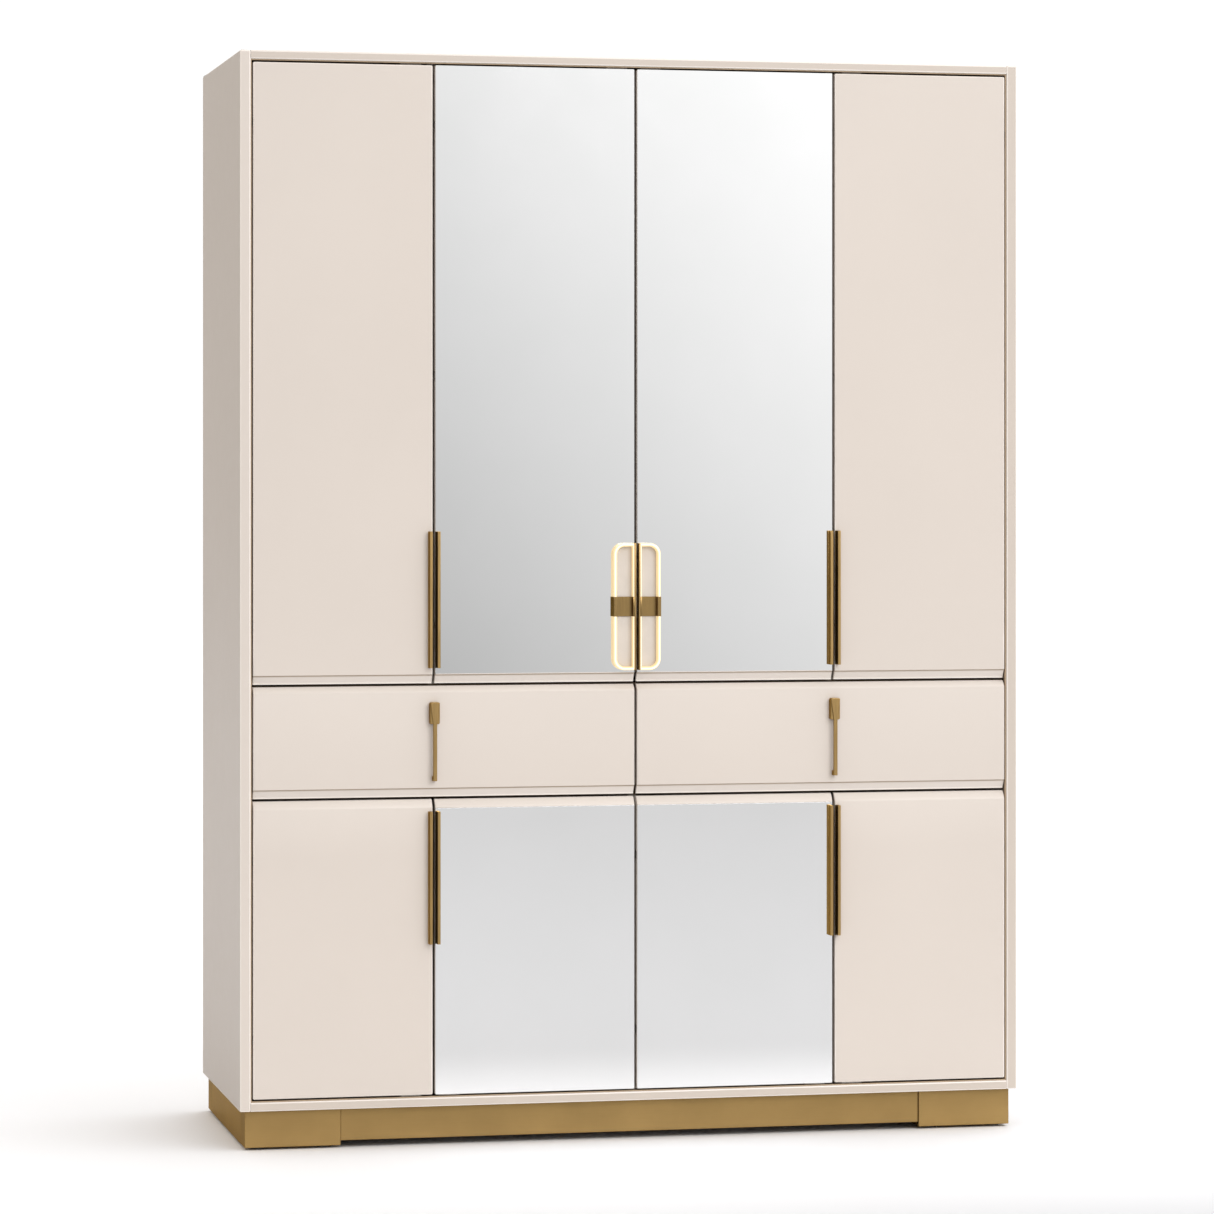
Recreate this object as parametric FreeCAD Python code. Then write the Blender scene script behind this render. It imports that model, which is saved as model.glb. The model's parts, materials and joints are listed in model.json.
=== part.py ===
import FreeCAD, Part
import os

# Four-column armoire: eight hinged fronts, two drawers, lacquered carcass on a brass plinth.
# Origin: centre of the bounding box at floor level. X to the right, Y to the back, Z up.
# "depth" below means the distance behind the plane of the door fronts.

# ---- overall ----
body_width = 1626.0
body_depth = 600.0
body_height = 2130.0
plinth_height = 80.0

# ---- carcass boards ----
side_thickness = 22.0
panel_thickness = 18.0
back_thickness = 8.0
back_inset = 12.0          # back sheet behind its groove, from the rear edge
groove_depth = 6.0
groove_clearance = 0.2
edge_round = 3.0
inner_edge_round = 1.5

# ---- fronts ----
front_thickness = 20.0
frame_gap = 6.0            # reveal between the fronts and the carcass frame
seam_gap = 5.0             # reveal between two fronts
outer_seam_offset = 418.5  # outer seams from the centre line
lower_door_height = 597.0
drawer_front_height = 224.5
front_edge_round = 1.5
bevel_depth = 13.0         # how far the finger bevels cut back into a front
under_bevel_height = 18.5  # bevel along the bottom of the upper doors and the drawers
under_bevel_sag = 0.8
crown_height = 12.5        # rounded top of the drawers
lower_crown_height = 16.5  # rounded top of the lower doors
crown_sag = 2.4
mirror_thickness = 4.0
mirror_lip = 1.0           # ledge of the board that the mirror stands on
mirror_inset = 0.6
mirror_chamfer = 0.8

# ---- hinges ----
axis_depth = 9.0
side_axis_inset = 25.0     # hinge axis from the edge of a door hung on a side panel
partition_axis_inset = 45.5
pin_radius = 2.25
pin_grip = 14.0            # pin length held in the door above and below the knuckle
pin_clearance = 0.05
knuckle_wall = 1.35
knuckle_clearance = 0.4
arm_thickness = 5.0
arm_height = 15.0
arm_height_clearance = 0.5
swing_clearance = 2.0
plate_thickness = 3.0
plate_length = 40.0
plate_height = 48.0
hinge_end_distance = 120.0
upper_hinge_count = 3
lower_hinge_count = 2
screw_head_radius = 4.0
screw_head_height = 1.6
screw_edge_distance = 9.0

# ---- interior ----
partition_setback = 18.0   # partitions behind the backs of the doors
deck_setback = 2.0         # decks behind the backs of the drawer fronts
shelf_plate_clearance = 4.0  # shelves behind the hinge plates
shelf_side_clearance = 0.5
shelf_back_clearance = 2.0
outer_shelf_count = 3
hat_shelf_drop = 280.0     # clear height above the shelf over the hanging rail
lower_shelf_count = 1
shelf_pin_radius = 2.5
shelf_pin_reach = 8.0
shelf_pin_embed = 9.0
shelf_pin_inset = 60.0
shelf_hole_clearance = 0.1
rail_radius = 12.5
rail_wall = 1.5
rail_drop = 48.0           # rail axis under the hat shelf
socket_radius = 22.0
socket_flange = 3.0
socket_reach = 12.0
socket_wall = 2.0
rail_clearance = 0.3
catch_length = 42.0
catch_size = 14.0
catch_gap = 0.5
catch_edge_distance = 14.0
cam_radius = 7.5
cam_depth = 12.0
cam_edge_distance = 24.0
cam_row_inset = 90.0
cam_clearance = 0.1

# ---- drawers ----
runner_length = 500.0
runner_space = 13.0
runner_height = 45.0
runner_sheet = 1.5
runner_lip = 9.0
runner_clearance = 0.6
runner_setback = 6.0       # runner behind the drawer front
drawer_board = 12.0
drawer_box_height = 150.0
drawer_bottom_thickness = 6.0
drawer_bottom_rise = 12.0
drawer_groove_depth = 5.0

# ---- edge pulls on the doors ----
pull_reach = 16.0
pull_blade = 6.0
pull_inner_offset = 5.0    # inner face of a blade from the seam's centre line
pull_flange = 1.0
pull_flange_width = 1.2    # flange beyond the outer face of the blade
upper_pull_length = 276.0
lower_pull_length = 268.0
upper_pull_rise = 31.5     # above the bottom of the upper doors
lower_pull_drop = 24.0     # under the top of the lower doors

# ---- lit handle in two halves at the centre seam ----
lit_length = 259.0
lit_width = 46.5
lit_corner = 23.0
lit_rise = 24.0
lit_rim = 7.0
lit_seam_rim = 3.2
lit_reach = 16.5
lit_blade = 3.6
lit_blade_reach = 17.0
tray_thickness = 2.0
band_height = 40.0
band_proud = 0.5
band_floor = 3.0
band_clearance = 0.1

# ---- drawer pulls ----
knob_width = 20.0
knob_height = 44.0
knob_reach = 10.0
bar_width = 8.0
bar_reach = 16.0
drawer_pull_length = 159.0
pull_foot_height = 10.0

# ---- plinth ----
plinth_side_inset = 12.0
plinth_front_inset = 18.0
foot_width = 195.0
foot_depth = 60.0
plinth_board = 18.0
rail_recess = 4.0
rail_floor_gap = 14.0
rail_end_gap = 3.0
glide_height = 5.0
glide_radius = 15.0
glide_end_distance = 30.0

# ---- wall fixing ----
bracket_width = 60.0
bracket_leg = 40.0
bracket_sheet = 3.0
bracket_offset = 600.0
wall_screw_radius = 3.0
wall_screw_drop = 24.0     # wall screws under the top panel

# ---- derived places ----
reach = max(pull_reach, lit_blade_reach, bar_reach)
front_y = (reach - body_depth) / 2.0
rear_y = front_y + body_depth
half_width = body_width / 2.0
inner_x = half_width - side_thickness
body_bottom = plinth_height
body_top = plinth_height + body_height
floor_z = body_bottom + panel_thickness
ceiling_z = body_top - panel_thickness
back_face_y = rear_y - back_inset - back_thickness

lower_z0 = floor_z + frame_gap
lower_z1 = lower_z0 + lower_door_height
drawer_z0 = lower_z1 + seam_gap
drawer_z1 = drawer_z0 + drawer_front_height
upper_z0 = drawer_z1 + seam_gap
upper_z1 = ceiling_z - frame_gap

upper_deck_top = upper_z0 - seam_gap / 2.0
lower_deck_bottom = lower_z1 + seam_gap / 2.0
door_outer_x = inner_x - frame_gap
half_seam = seam_gap / 2.0
knuckle_radius = pin_radius + knuckle_wall
notch_depth = axis_depth - knuckle_radius - knuckle_clearance
notch_height = arm_height + 2.0 * arm_height_clearance
back_of_front = front_thickness - axis_depth
swing_radius = (partition_axis_inset ** 2 + back_of_front ** 2) ** 0.5
crossbar_depth = axis_depth + swing_radius + swing_clearance
shelf_front_y = front_y + crossbar_depth + plate_length + shelf_plate_clearance
half_panel = panel_thickness / 2.0

nodes = {}


def vec(x, y, z):
    return FreeCAD.Vector(x, y, z)


def block(x0, x1, y0, y1, z0, z1):
    return Part.makeBox(x1 - x0, y1 - y0, z1 - z0, vec(x0, y0, z0))


def rod(radius, length, start, direction):
    return Part.makeCylinder(radius, length, start, direction)


def mirrored(shape):
    return shape.mirror(vec(0, 0, 0), vec(1, 0, 0))


def group(shapes):
    return Part.makeCompound(shapes)


def with_mirror(shapes):
    return shapes + [mirrored(s) for s in shapes]


def round_edges(shape, radius, wanted):
    """Rounds the straight edges whose middle point passes the test."""
    edges = [e for e in shape.Edges if wanted(e.CenterOfMass, e)]
    return shape.makeFillet(radius, edges)


def near(a, b):
    return abs(a - b) < 0.01


def save_pair(name, shape):
    """A left-hand piece and its mirror image become two nodes."""
    nodes[name + "_left"] = shape
    nodes[name + "_right"] = mirrored(shape)


# ---- carcass ----

def front_edge_test(z_edge):
    def wanted(point, edge):
        return near(point.y, front_y) and near(point.z, z_edge)
    return wanted


def side_panel():
    board = block(-half_width, -inner_x, front_y, rear_y, body_bottom, body_top)
    board = round_edges(board, edge_round,
                        lambda p, e: near(p.y, front_y) and near(p.x, -half_width))
    board = round_edges(board, inner_edge_round,
                        lambda p, e: near(p.y, front_y) and near(p.x, -inner_x))
    groove = block(-inner_x - groove_depth, -inner_x, back_face_y - groove_clearance,
                   back_face_y + back_thickness + groove_clearance,
                   floor_z - groove_depth, ceiling_z + groove_depth)
    holes = [rod(shelf_pin_radius + shelf_hole_clearance, shelf_pin_embed,
                 vec(-inner_x - shelf_pin_embed, y, z - shelf_pin_radius), vec(1, 0, 0))
             for y in pin_rows() for z in outer_shelf_heights() + lower_shelf_heights()]
    return board.cut([groove] + holes)


def cam_places(x_wall):
    """Centres of the cam fittings along the left end of a board."""
    rows = (front_y + cam_row_inset, back_face_y - cam_row_inset)
    return [(x_wall + cam_edge_distance, y) for y in rows]


def level_board(z0, z1, y0, cam_from_below):
    """A board between the two side panels, with cam pockets near its ends."""
    board = block(-inner_x, inner_x, y0, back_face_y, z0, z1)
    start = z0 if cam_from_below else z1 - cam_depth
    pockets = [rod(cam_radius + cam_clearance, cam_depth, vec(x, y, start), vec(0, 0, 1))
               for x, y in cam_places(-inner_x)]
    cams.extend(with_mirror([rod(cam_radius, cam_depth, vec(x, y, start), vec(0, 0, 1))
                             for x, y in cam_places(-inner_x)]))
    return board.cut(with_mirror(pockets))


def top_or_bottom(z0, z1, outer_z, inner_z, groove_z0, groove_z1, cam_from_below):
    """Top and bottom boards run on to the rear edge and hold the back sheet in a groove."""
    board = level_board(z0, z1, front_y, cam_from_below)
    board = board.fuse(block(-inner_x, inner_x, back_face_y, rear_y, z0, z1)).removeSplitter()
    board = round_edges(board, edge_round, front_edge_test(outer_z))
    board = round_edges(board, inner_edge_round, front_edge_test(inner_z))
    groove = block(-inner_x, inner_x, back_face_y - groove_clearance,
                   back_face_y + back_thickness + groove_clearance, groove_z0, groove_z1)
    return board.cut(groove)


def pin_rows():
    return (shelf_front_y + shelf_pin_inset, back_face_y - shelf_pin_inset)


def outer_shelf_heights():
    """Undersides of the shelves behind the outer upper doors, evenly spaced."""
    clear = (ceiling_z - upper_deck_top - outer_shelf_count * panel_thickness)
    step = clear / (outer_shelf_count + 1)
    return [upper_deck_top + step * (i + 1) + panel_thickness * i for i in range(outer_shelf_count)]


def lower_shelf_heights():
    clear = (lower_deck_bottom - floor_z - lower_shelf_count * panel_thickness)
    step = clear / (lower_shelf_count + 1)
    return [floor_z + step * (i + 1) + panel_thickness * i for i in range(lower_shelf_count)]


def hat_shelf_height():
    return ceiling_z - hat_shelf_drop - panel_thickness


def pins_into(x_face, way, z):
    """Two pins that stand out of a wall face; way is +1 when the bay is to the right."""
    start = x_face - way * shelf_pin_embed
    length = shelf_pin_embed + shelf_pin_reach
    return [rod(shelf_pin_radius, length, vec(start, y, z - shelf_pin_radius), vec(way, 0, 0))
            for y in pin_rows()]


def partition_holes(x_face, way, heights):
    start = x_face - way * shelf_pin_embed
    return [rod(shelf_pin_radius + shelf_hole_clearance, shelf_pin_embed,
                vec(start, y, z - shelf_pin_radius), vec(way, 0, 0))
            for y in pin_rows() for z in heights]


def upper_partition():
    front = front_y + front_thickness + partition_setback
    board = block(-outer_seam_offset - half_panel, -outer_seam_offset + half_panel,
                  front, back_face_y, upper_deck_top, ceiling_z)
    outer = partition_holes(-outer_seam_offset - half_panel, -1, outer_shelf_heights())
    hat = partition_holes(-outer_seam_offset + half_panel, 1, [hat_shelf_height()])
    return board.cut(outer + hat)


def lower_partition():
    front = front_y + front_thickness + partition_setback
    board = block(-half_panel, half_panel, front, back_face_y, floor_z, lower_deck_bottom)
    left = partition_holes(-half_panel, -1, lower_shelf_heights())
    right = partition_holes(half_panel, 1, lower_shelf_heights())
    return board.cut(left + right)


def shelf(x0, x1, z):
    return block(x0 + shelf_side_clearance, x1 - shelf_side_clearance,
                 shelf_front_y, back_face_y - shelf_back_clearance, z, z + panel_thickness)


def bracket_hole(x):
    """Screw hole through the wall leg of a bracket and the back sheet behind it."""
    length = bracket_sheet + back_thickness
    return rod(wall_screw_radius, length, vec(x, back_face_y - bracket_sheet, ceiling_z - wall_screw_drop),
               vec(0, 1, 0))


cams = []


def carcass():
    nodes["side_panel_left"] = side_panel()
    nodes["side_panel_right"] = mirrored(nodes["side_panel_left"])
    nodes["top_panel"] = top_or_bottom(ceiling_z, body_top, body_top, ceiling_z,
                                       ceiling_z, ceiling_z + groove_depth, True)
    nodes["bottom_panel"] = top_or_bottom(body_bottom, floor_z, body_bottom, floor_z,
                                          floor_z - groove_depth, floor_z, False)
    deck_y = front_y + front_thickness + deck_setback
    nodes["upper_deck"] = level_board(upper_deck_top - panel_thickness, upper_deck_top,
                                      deck_y, True)
    nodes["lower_deck"] = level_board(lower_deck_bottom, lower_deck_bottom + panel_thickness,
                                      deck_y, True)
    nodes["upper_partitions"] = group(with_mirror([upper_partition()]))
    nodes["drawer_partition"] = block(-half_panel, half_panel, deck_y, back_face_y,
                                      lower_deck_bottom + panel_thickness,
                                      upper_deck_top - panel_thickness)
    nodes["lower_partition"] = lower_partition()
    fit = groove_depth - groove_clearance
    sheet = block(-inner_x - fit, inner_x + fit, back_face_y, back_face_y + back_thickness,
                  floor_z - fit, ceiling_z + fit)
    nodes["back_panel"] = sheet.cut([bracket_hole(bracket_offset), bracket_hole(-bracket_offset)])


def interior():
    wall_x = -inner_x
    seam_left = -outer_seam_offset - half_panel
    seam_right = -outer_seam_offset + half_panel
    outer = [shelf(wall_x, seam_left, z) for z in outer_shelf_heights()]
    lower = [shelf(wall_x, -half_panel, z) for z in lower_shelf_heights()]
    hat = shelf(seam_right, -seam_right, hat_shelf_height())
    nodes["shelves"] = group(with_mirror(outer + lower) + [hat])
    pins = []
    for z in outer_shelf_heights():
        pins += pins_into(wall_x, 1, z) + pins_into(seam_left, -1, z)
    for z in lower_shelf_heights():
        pins += pins_into(wall_x, 1, z) + pins_into(-half_panel, -1, z)
    pins += pins_into(seam_right, 1, hat_shelf_height())
    nodes["shelf_pins"] = group(with_mirror(pins))

    rail_y = (shelf_front_y + back_face_y) / 2.0
    rail_z = hat_shelf_height() - rail_drop
    tube_x = seam_right + socket_flange
    span = -2.0 * tube_x
    tube = rod(rail_radius, span, vec(tube_x, rail_y, rail_z), vec(1, 0, 0))
    bore = rod(rail_radius - rail_wall, span, vec(tube_x, rail_y, rail_z), vec(1, 0, 0))
    nodes["hanging_rail"] = tube.cut(bore)
    centre = vec(seam_right, rail_y, rail_z)
    seat = vec(tube_x, rail_y, rail_z)
    cup_radius = rail_radius + rail_clearance + socket_wall
    cup = rod(cup_radius, socket_flange + socket_reach, centre, vec(1, 0, 0))
    hole = rod(rail_radius + rail_clearance, socket_reach, seat, vec(1, 0, 0))
    flange = rod(socket_radius, socket_flange, centre, vec(1, 0, 0))
    socket = flange.fuse(cup).removeSplitter().cut(hole)
    nodes["rail_sockets"] = group(with_mirror([socket]))

    catches = []
    y0 = front_y + front_thickness + catch_gap
    for z in (ceiling_z - catch_size, floor_z):
        outer_x = seam_left - catch_edge_distance - catch_length
        catches.append(block(outer_x, outer_x + catch_length, y0, y0 + catch_size, z, z + catch_size))
    inner_top = -catch_edge_distance - catch_length
    catches.append(block(inner_top, inner_top + catch_length, y0, y0 + catch_size,
                         ceiling_z - catch_size, ceiling_z))
    inner_low = -outer_seam_offset + catch_edge_distance
    catches.append(block(inner_low, inner_low + catch_length, y0, y0 + catch_size,
                         floor_z, floor_z + catch_size))
    nodes["magnet_catches"] = group(with_mirror(catches))

    x0 = -bracket_offset - bracket_width / 2.0
    top_leg = block(x0, x0 + bracket_width, back_face_y - bracket_leg, back_face_y,
                    ceiling_z - bracket_sheet, ceiling_z)
    wall_leg = block(x0, x0 + bracket_width, back_face_y - bracket_sheet, back_face_y,
                     ceiling_z - bracket_leg, ceiling_z)
    bracket = top_leg.fuse(wall_leg).removeSplitter().cut(bracket_hole(-bracket_offset))
    nodes["wall_brackets"] = group(with_mirror([bracket]))


# ---- fronts ----

def arc_or_line(start, end, sag):
    """Edge from start to end in the YZ plane, bowed out of its chord by sag."""
    chord = end - start
    normal = vec(0, -chord.z, chord.y).normalize()
    middle = (start + end) * 0.5 + normal * sag
    return Part.Arc(start, middle, end).toShape()


def front_board(x0, x1, z0, z1, under, crown, face):
    """A front as a YZ outline carried along X. under and crown are the heights of the bevels
    along its bottom and top, or 0, and face is the depth of the rebate for a mirror, or 0."""
    def point(depth, z):
        return vec(x0, front_y + depth, z)
    edges = []
    corner = point(front_thickness, z0)

    def line_to(start, end):
        edges.append(Part.LineSegment(start, end).toShape())
        return end

    if under:
        corner = line_to(corner, point(bevel_depth, z0))
        lip = point(0, z0 + under)
        edges.append(arc_or_line(corner, lip, under_bevel_sag))
        corner = lip
        if face:
            corner = line_to(corner, point(0, z0 + under + mirror_lip))
            corner = line_to(corner, point(face, z0 + under + mirror_lip))
    else:
        corner = line_to(corner, point(face, z0))
    if crown:
        if face:
            corner = line_to(corner, point(face, z1 - crown - mirror_lip))
            corner = line_to(corner, point(0, z1 - crown - mirror_lip))
        corner = line_to(corner, point(0, z1 - crown))
        shoulder = point(bevel_depth, z1)
        edges.append(arc_or_line(corner, shoulder, -crown_sag))
        corner = shoulder
    else:
        corner = line_to(corner, point(face, z1))
    corner = line_to(corner, point(front_thickness, z1))
    line_to(corner, point(front_thickness, z0))
    board = Part.Face(Part.Wire(edges)).extrude(vec(x1 - x0, 0, 0))
    if not face:
        board = round_edges(board, front_edge_round,
                            lambda p, e: near(p.y, front_y) and (near(p.x, x0) or near(p.x, x1)))
    return board


def hinge_levels(z0, z1, count):
    first = z0 + hinge_end_distance
    step = (z1 - z0 - 2.0 * hinge_end_distance) / (count - 1)
    return [first + step * i for i in range(count)]


def cut_for_hinges(board, edge_x, axis_x, levels):
    """Notches that let the arms in from the back and the edge, and bores for the pins."""
    far_x = axis_x + (axis_x - edge_x) / abs(axis_x - edge_x) * (knuckle_radius + knuckle_clearance)
    tools = []
    for z in levels:
        tools.append(block(min(edge_x, far_x), max(edge_x, far_x), front_y + notch_depth,
                           front_y + front_thickness, z - notch_height / 2.0, z + notch_height / 2.0))
        tools.append(rod(pin_radius + pin_clearance, arm_height + 2.0 * pin_grip + 1.0,
                         vec(axis_x, front_y + axis_depth, z - arm_height / 2.0 - pin_grip - 0.5),
                         vec(0, 0, 1)))
    return board.cut(tools)


def hinge_arm(axis_x, wall_x, z):
    """Knuckle in the door, leg straight back past the swing, crossbar to the wall, plate."""
    way = 1.0 if wall_x > axis_x else -1.0
    z0 = z - arm_height / 2.0
    z1 = z + arm_height / 2.0
    half = arm_thickness / 2.0
    bar_y = front_y + crossbar_depth
    knuckle = rod(knuckle_radius, arm_height, vec(axis_x, front_y + axis_depth, z0), vec(0, 0, 1))
    leg = block(axis_x - half, axis_x + half, front_y + axis_depth, bar_y + arm_thickness, z0, z1)
    bar_x = (axis_x - way * half, wall_x)
    bar = block(min(bar_x), max(bar_x), bar_y, bar_y + arm_thickness, z0, z1)
    plate_x = (wall_x, wall_x - way * plate_thickness)
    plate = block(min(plate_x), max(plate_x), bar_y, bar_y + plate_length,
                  z - plate_height / 2.0, z + plate_height / 2.0)
    bore = rod(pin_radius, arm_height, vec(axis_x, front_y + axis_depth, z0), vec(0, 0, 1))
    arm = knuckle.fuse([leg, bar, plate]).removeSplitter().cut(bore)
    head_y = bar_y + plate_length - screw_edge_distance
    head_rise = plate_height / 2.0 - screw_edge_distance
    heads = [rod(screw_head_radius, screw_head_height,
                 vec(wall_x - way * plate_thickness, head_y, z + side * head_rise),
                 vec(-way, 0, 0)) for side in (-1, 1)]
    return arm, heads


def hinge_pin(axis_x, z):
    length = arm_height + 2.0 * pin_grip
    return rod(pin_radius, length, vec(axis_x, front_y + axis_depth, z - length / 2.0), vec(0, 0, 1))


def edge_pull(edge_x, way, z0, z1):
    """Blade beside a seam; way is +1 when the seam is to the right of the front."""
    seam_x = edge_x + way * half_seam
    blade_x = (seam_x - way * pull_inner_offset, seam_x - way * (pull_inner_offset + pull_blade))
    flange_x = (edge_x, blade_x[1] - way * pull_flange_width)
    blade = block(min(blade_x), max(blade_x), front_y - pull_reach, front_y, z0, z1)
    flange = block(min(flange_x), max(flange_x), front_y - pull_flange, front_y, z0, z1)
    return blade.fuse(flange).removeSplitter()


def mirror_pane(x0, x1, z0, z1):
    pane = block(x0 + mirror_inset, x1 - mirror_inset, front_y, front_y + mirror_thickness, z0, z1)
    front_edges = [e for e in pane.Edges if near(e.CenterOfMass.y, front_y)]
    return pane.makeChamfer(mirror_chamfer, front_edges)


arms = []
arm_screws = []
pins = []


def door(name, x0, x1, z0, z1, under, crown, hinge_left, wall_x, axis_inset, pull_left, pull_z, count,
         mirror_name):
    """One left-hand door with its hinges, pull and mirror; the right-hand one is its mirror image."""
    edge_x = x0 if hinge_left else x1
    axis_x = edge_x + axis_inset if hinge_left else edge_x - axis_inset
    levels = hinge_levels(z0, z1, count)
    face = mirror_thickness if mirror_name else 0
    board = front_board(x0, x1, z0, z1, under, crown, face)
    save_pair("door_" + name, cut_for_hinges(board, edge_x, axis_x, levels))
    for z in levels:
        arm, heads = hinge_arm(axis_x, wall_x, z)
        arms.append(arm)
        arm_screws.extend(heads)
        pins.append(hinge_pin(axis_x, z))
    pull_x = x0 if pull_left else x1
    save_pair("pull_" + name, edge_pull(pull_x, -1 if pull_left else 1, pull_z[0], pull_z[1]))
    if mirror_name:
        low = z0 + under + mirror_lip if under else z0
        high = z1 - crown - mirror_lip if crown else z1
        save_pair("mirror_" + mirror_name, mirror_pane(x0, x1, low, high))


def doors():
    outer = (-door_outer_x, -outer_seam_offset - half_seam)
    inner = (-outer_seam_offset + half_seam, -half_seam)
    upper_pull = (upper_z0 + upper_pull_rise, upper_z0 + upper_pull_rise + upper_pull_length)
    lower_pull = (lower_z1 - lower_pull_drop - lower_pull_length, lower_z1 - lower_pull_drop)
    partition_face = -outer_seam_offset + half_panel
    door("upper_outer", outer[0], outer[1], upper_z0, upper_z1, under_bevel_height, 0, True,
         -inner_x, side_axis_inset, False, upper_pull, upper_hinge_count, None)
    door("upper_inner", inner[0], inner[1], upper_z0, upper_z1, under_bevel_height, 0, True,
         partition_face, partition_axis_inset, True, upper_pull, upper_hinge_count, "upper")
    door("lower_outer", outer[0], outer[1], lower_z0, lower_z1, 0, lower_crown_height, True,
         -inner_x, side_axis_inset, False, lower_pull, lower_hinge_count, None)
    door("lower_inner", inner[0], inner[1], lower_z0, lower_z1, 0, lower_crown_height, False,
         -half_panel, partition_axis_inset, True, lower_pull, lower_hinge_count, "lower")
    nodes["hinge_arms"] = group(with_mirror(arms))
    nodes["cabinet_fasteners"] = group(cams + with_mirror(arm_screws))
    nodes["hinge_pins"] = group(with_mirror(pins))


# ---- lit handle ----

def d_outline(x_seam, x_outer, z0, z1, corner):
    """Flat D with its straight side at the seam and two rounded outer corners."""
    def point(x, z):
        return vec(x, front_y, z)
    cut_back = corner * (1.0 - 0.5 ** 0.5)
    edges = [
        Part.LineSegment(point(x_seam, z0), point(x_seam, z1)).toShape(),
        Part.LineSegment(point(x_seam, z1), point(x_outer + corner, z1)).toShape(),
        Part.Arc(point(x_outer + corner, z1), point(x_outer + cut_back, z1 - cut_back),
                 point(x_outer, z1 - corner)).toShape(),
        Part.LineSegment(point(x_outer, z1 - corner), point(x_outer, z0 + corner)).toShape(),
        Part.Arc(point(x_outer, z0 + corner), point(x_outer + cut_back, z0 + cut_back),
                 point(x_outer + corner, z0)).toShape(),
        Part.LineSegment(point(x_outer + corner, z0), point(x_seam, z0)).toShape(),
    ]
    return Part.Face(Part.Wire(edges))


def lit_handle():
    x_seam = -half_seam
    x_blade = x_seam - lit_blade
    x_outer = x_seam - lit_width
    z0 = upper_z0 + lit_rise
    z1 = z0 + lit_length
    z_mid = (z0 + z1) / 2.0
    x_floor = x_blade - lit_seam_rim
    forward = vec(0, -1, 0)
    outside = d_outline(x_blade, x_outer, z0, z1, lit_corner).extrude(forward * lit_reach)
    inside = d_outline(x_floor, x_outer + lit_rim, z0 + lit_rim, z1 - lit_rim,
                       lit_corner - lit_rim).extrude(forward * lit_reach)
    band_zone = block(x_outer - 1.0, x_blade + 1.0, front_y - lit_reach - 1.0, front_y + 1.0,
                      z_mid - band_height / 2.0 - band_clearance, z_mid + band_height / 2.0 + band_clearance)
    loop = outside.cut([inside, band_zone])
    save_pair("handle_light", group(loop.Solids))
    floor = d_outline(x_floor, x_outer + lit_rim, z0 + lit_rim, z1 - lit_rim,
                      lit_corner - lit_rim).extrude(forward * tray_thickness)
    save_pair("handle_tray", floor)
    blade = block(x_blade, x_seam, front_y - lit_blade_reach, front_y, z0, z1)
    b0 = z_mid - band_height / 2.0
    b1 = z_mid + band_height / 2.0
    outer_cheek = block(x_outer - band_proud, x_outer + lit_rim, front_y - lit_reach - band_proud,
                        front_y, b0, b1)
    seam_cheek = block(x_floor, x_blade, front_y - lit_reach - band_proud, front_y, b0, b1)
    web = block(x_outer + lit_rim, x_floor, front_y - tray_thickness - band_floor,
                front_y - tray_thickness, b0, b1)
    save_pair("handle_brass", blade.fuse([outer_cheek, seam_cheek, web]).removeSplitter())


# ---- drawers ----

def c_channel(x_web, way, reach_x, half_height, y0, y1, z):
    """Channel with its web at x_web and its flanges reaching reach_x in the given way."""
    web_x = (x_web, x_web + way * runner_sheet)
    lip_x = (x_web, x_web + way * reach_x)
    web = block(min(web_x), max(web_x), y0, y1, z - half_height, z + half_height)
    low = block(min(lip_x), max(lip_x), y0, y1, z - half_height, z - half_height + runner_sheet)
    high = block(min(lip_x), max(lip_x), y0, y1, z + half_height - runner_sheet, z + half_height)
    return web.fuse([low, high]).removeSplitter()


def runner_members(wall_x, way, z):
    """Cabinet, middle and drawer members of one telescopic runner, nested with clearance."""
    y0 = front_y + front_thickness + runner_setback
    y1 = y0 + runner_length
    nest = runner_sheet + runner_clearance
    half = runner_height / 2.0
    cabinet = c_channel(wall_x, way, runner_lip, half, y0, y1, z)
    middle = c_channel(wall_x + way * nest, way, runner_lip, half - nest, y0, y1, z)
    drawer = c_channel(wall_x + way * runner_space, -way, runner_lip, half - 2.0 * nest, y0, y1, z)
    return cabinet, middle, drawer


def wedge_bar(x, z_top, z_shoulder, z_low, y_block):
    """Bar of the drawer pull: as wide as the block at its top, narrowing to the bar's width."""
    def point(dx, y, z):
        return vec(x + dx, y, z)
    half_knob = knob_width / 2.0
    half_bar = bar_width / 2.0
    y = y_block
    outline = [point(-half_knob, y, z_top), point(half_knob, y, z_top),
               point(half_bar, y, z_shoulder), point(half_bar, y, z_low),
               point(-half_bar, y, z_low), point(-half_bar, y, z_shoulder)]
    face = Part.Face(Part.makePolygon(outline + [outline[0]]))
    return face.extrude(vec(0, -(bar_reach - knob_reach), 0))


def drawer_pull(x):
    z_mid = (drawer_z0 + drawer_z1) / 2.0
    z_top = z_mid + drawer_pull_length / 2.0
    z_low = z_mid - drawer_pull_length / 2.0
    z_shoulder = z_top - knob_height
    y_block = front_y - knob_reach
    knob = block(x - knob_width / 2.0, x + knob_width / 2.0, y_block, front_y, z_shoulder, z_top)
    bar = wedge_bar(x, z_top, z_shoulder, z_low, y_block)
    foot = block(x - bar_width / 2.0, x + bar_width / 2.0, y_block, front_y, z_low,
                 z_low + pull_foot_height)
    return knob.fuse([bar, foot]).removeSplitter()


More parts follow.
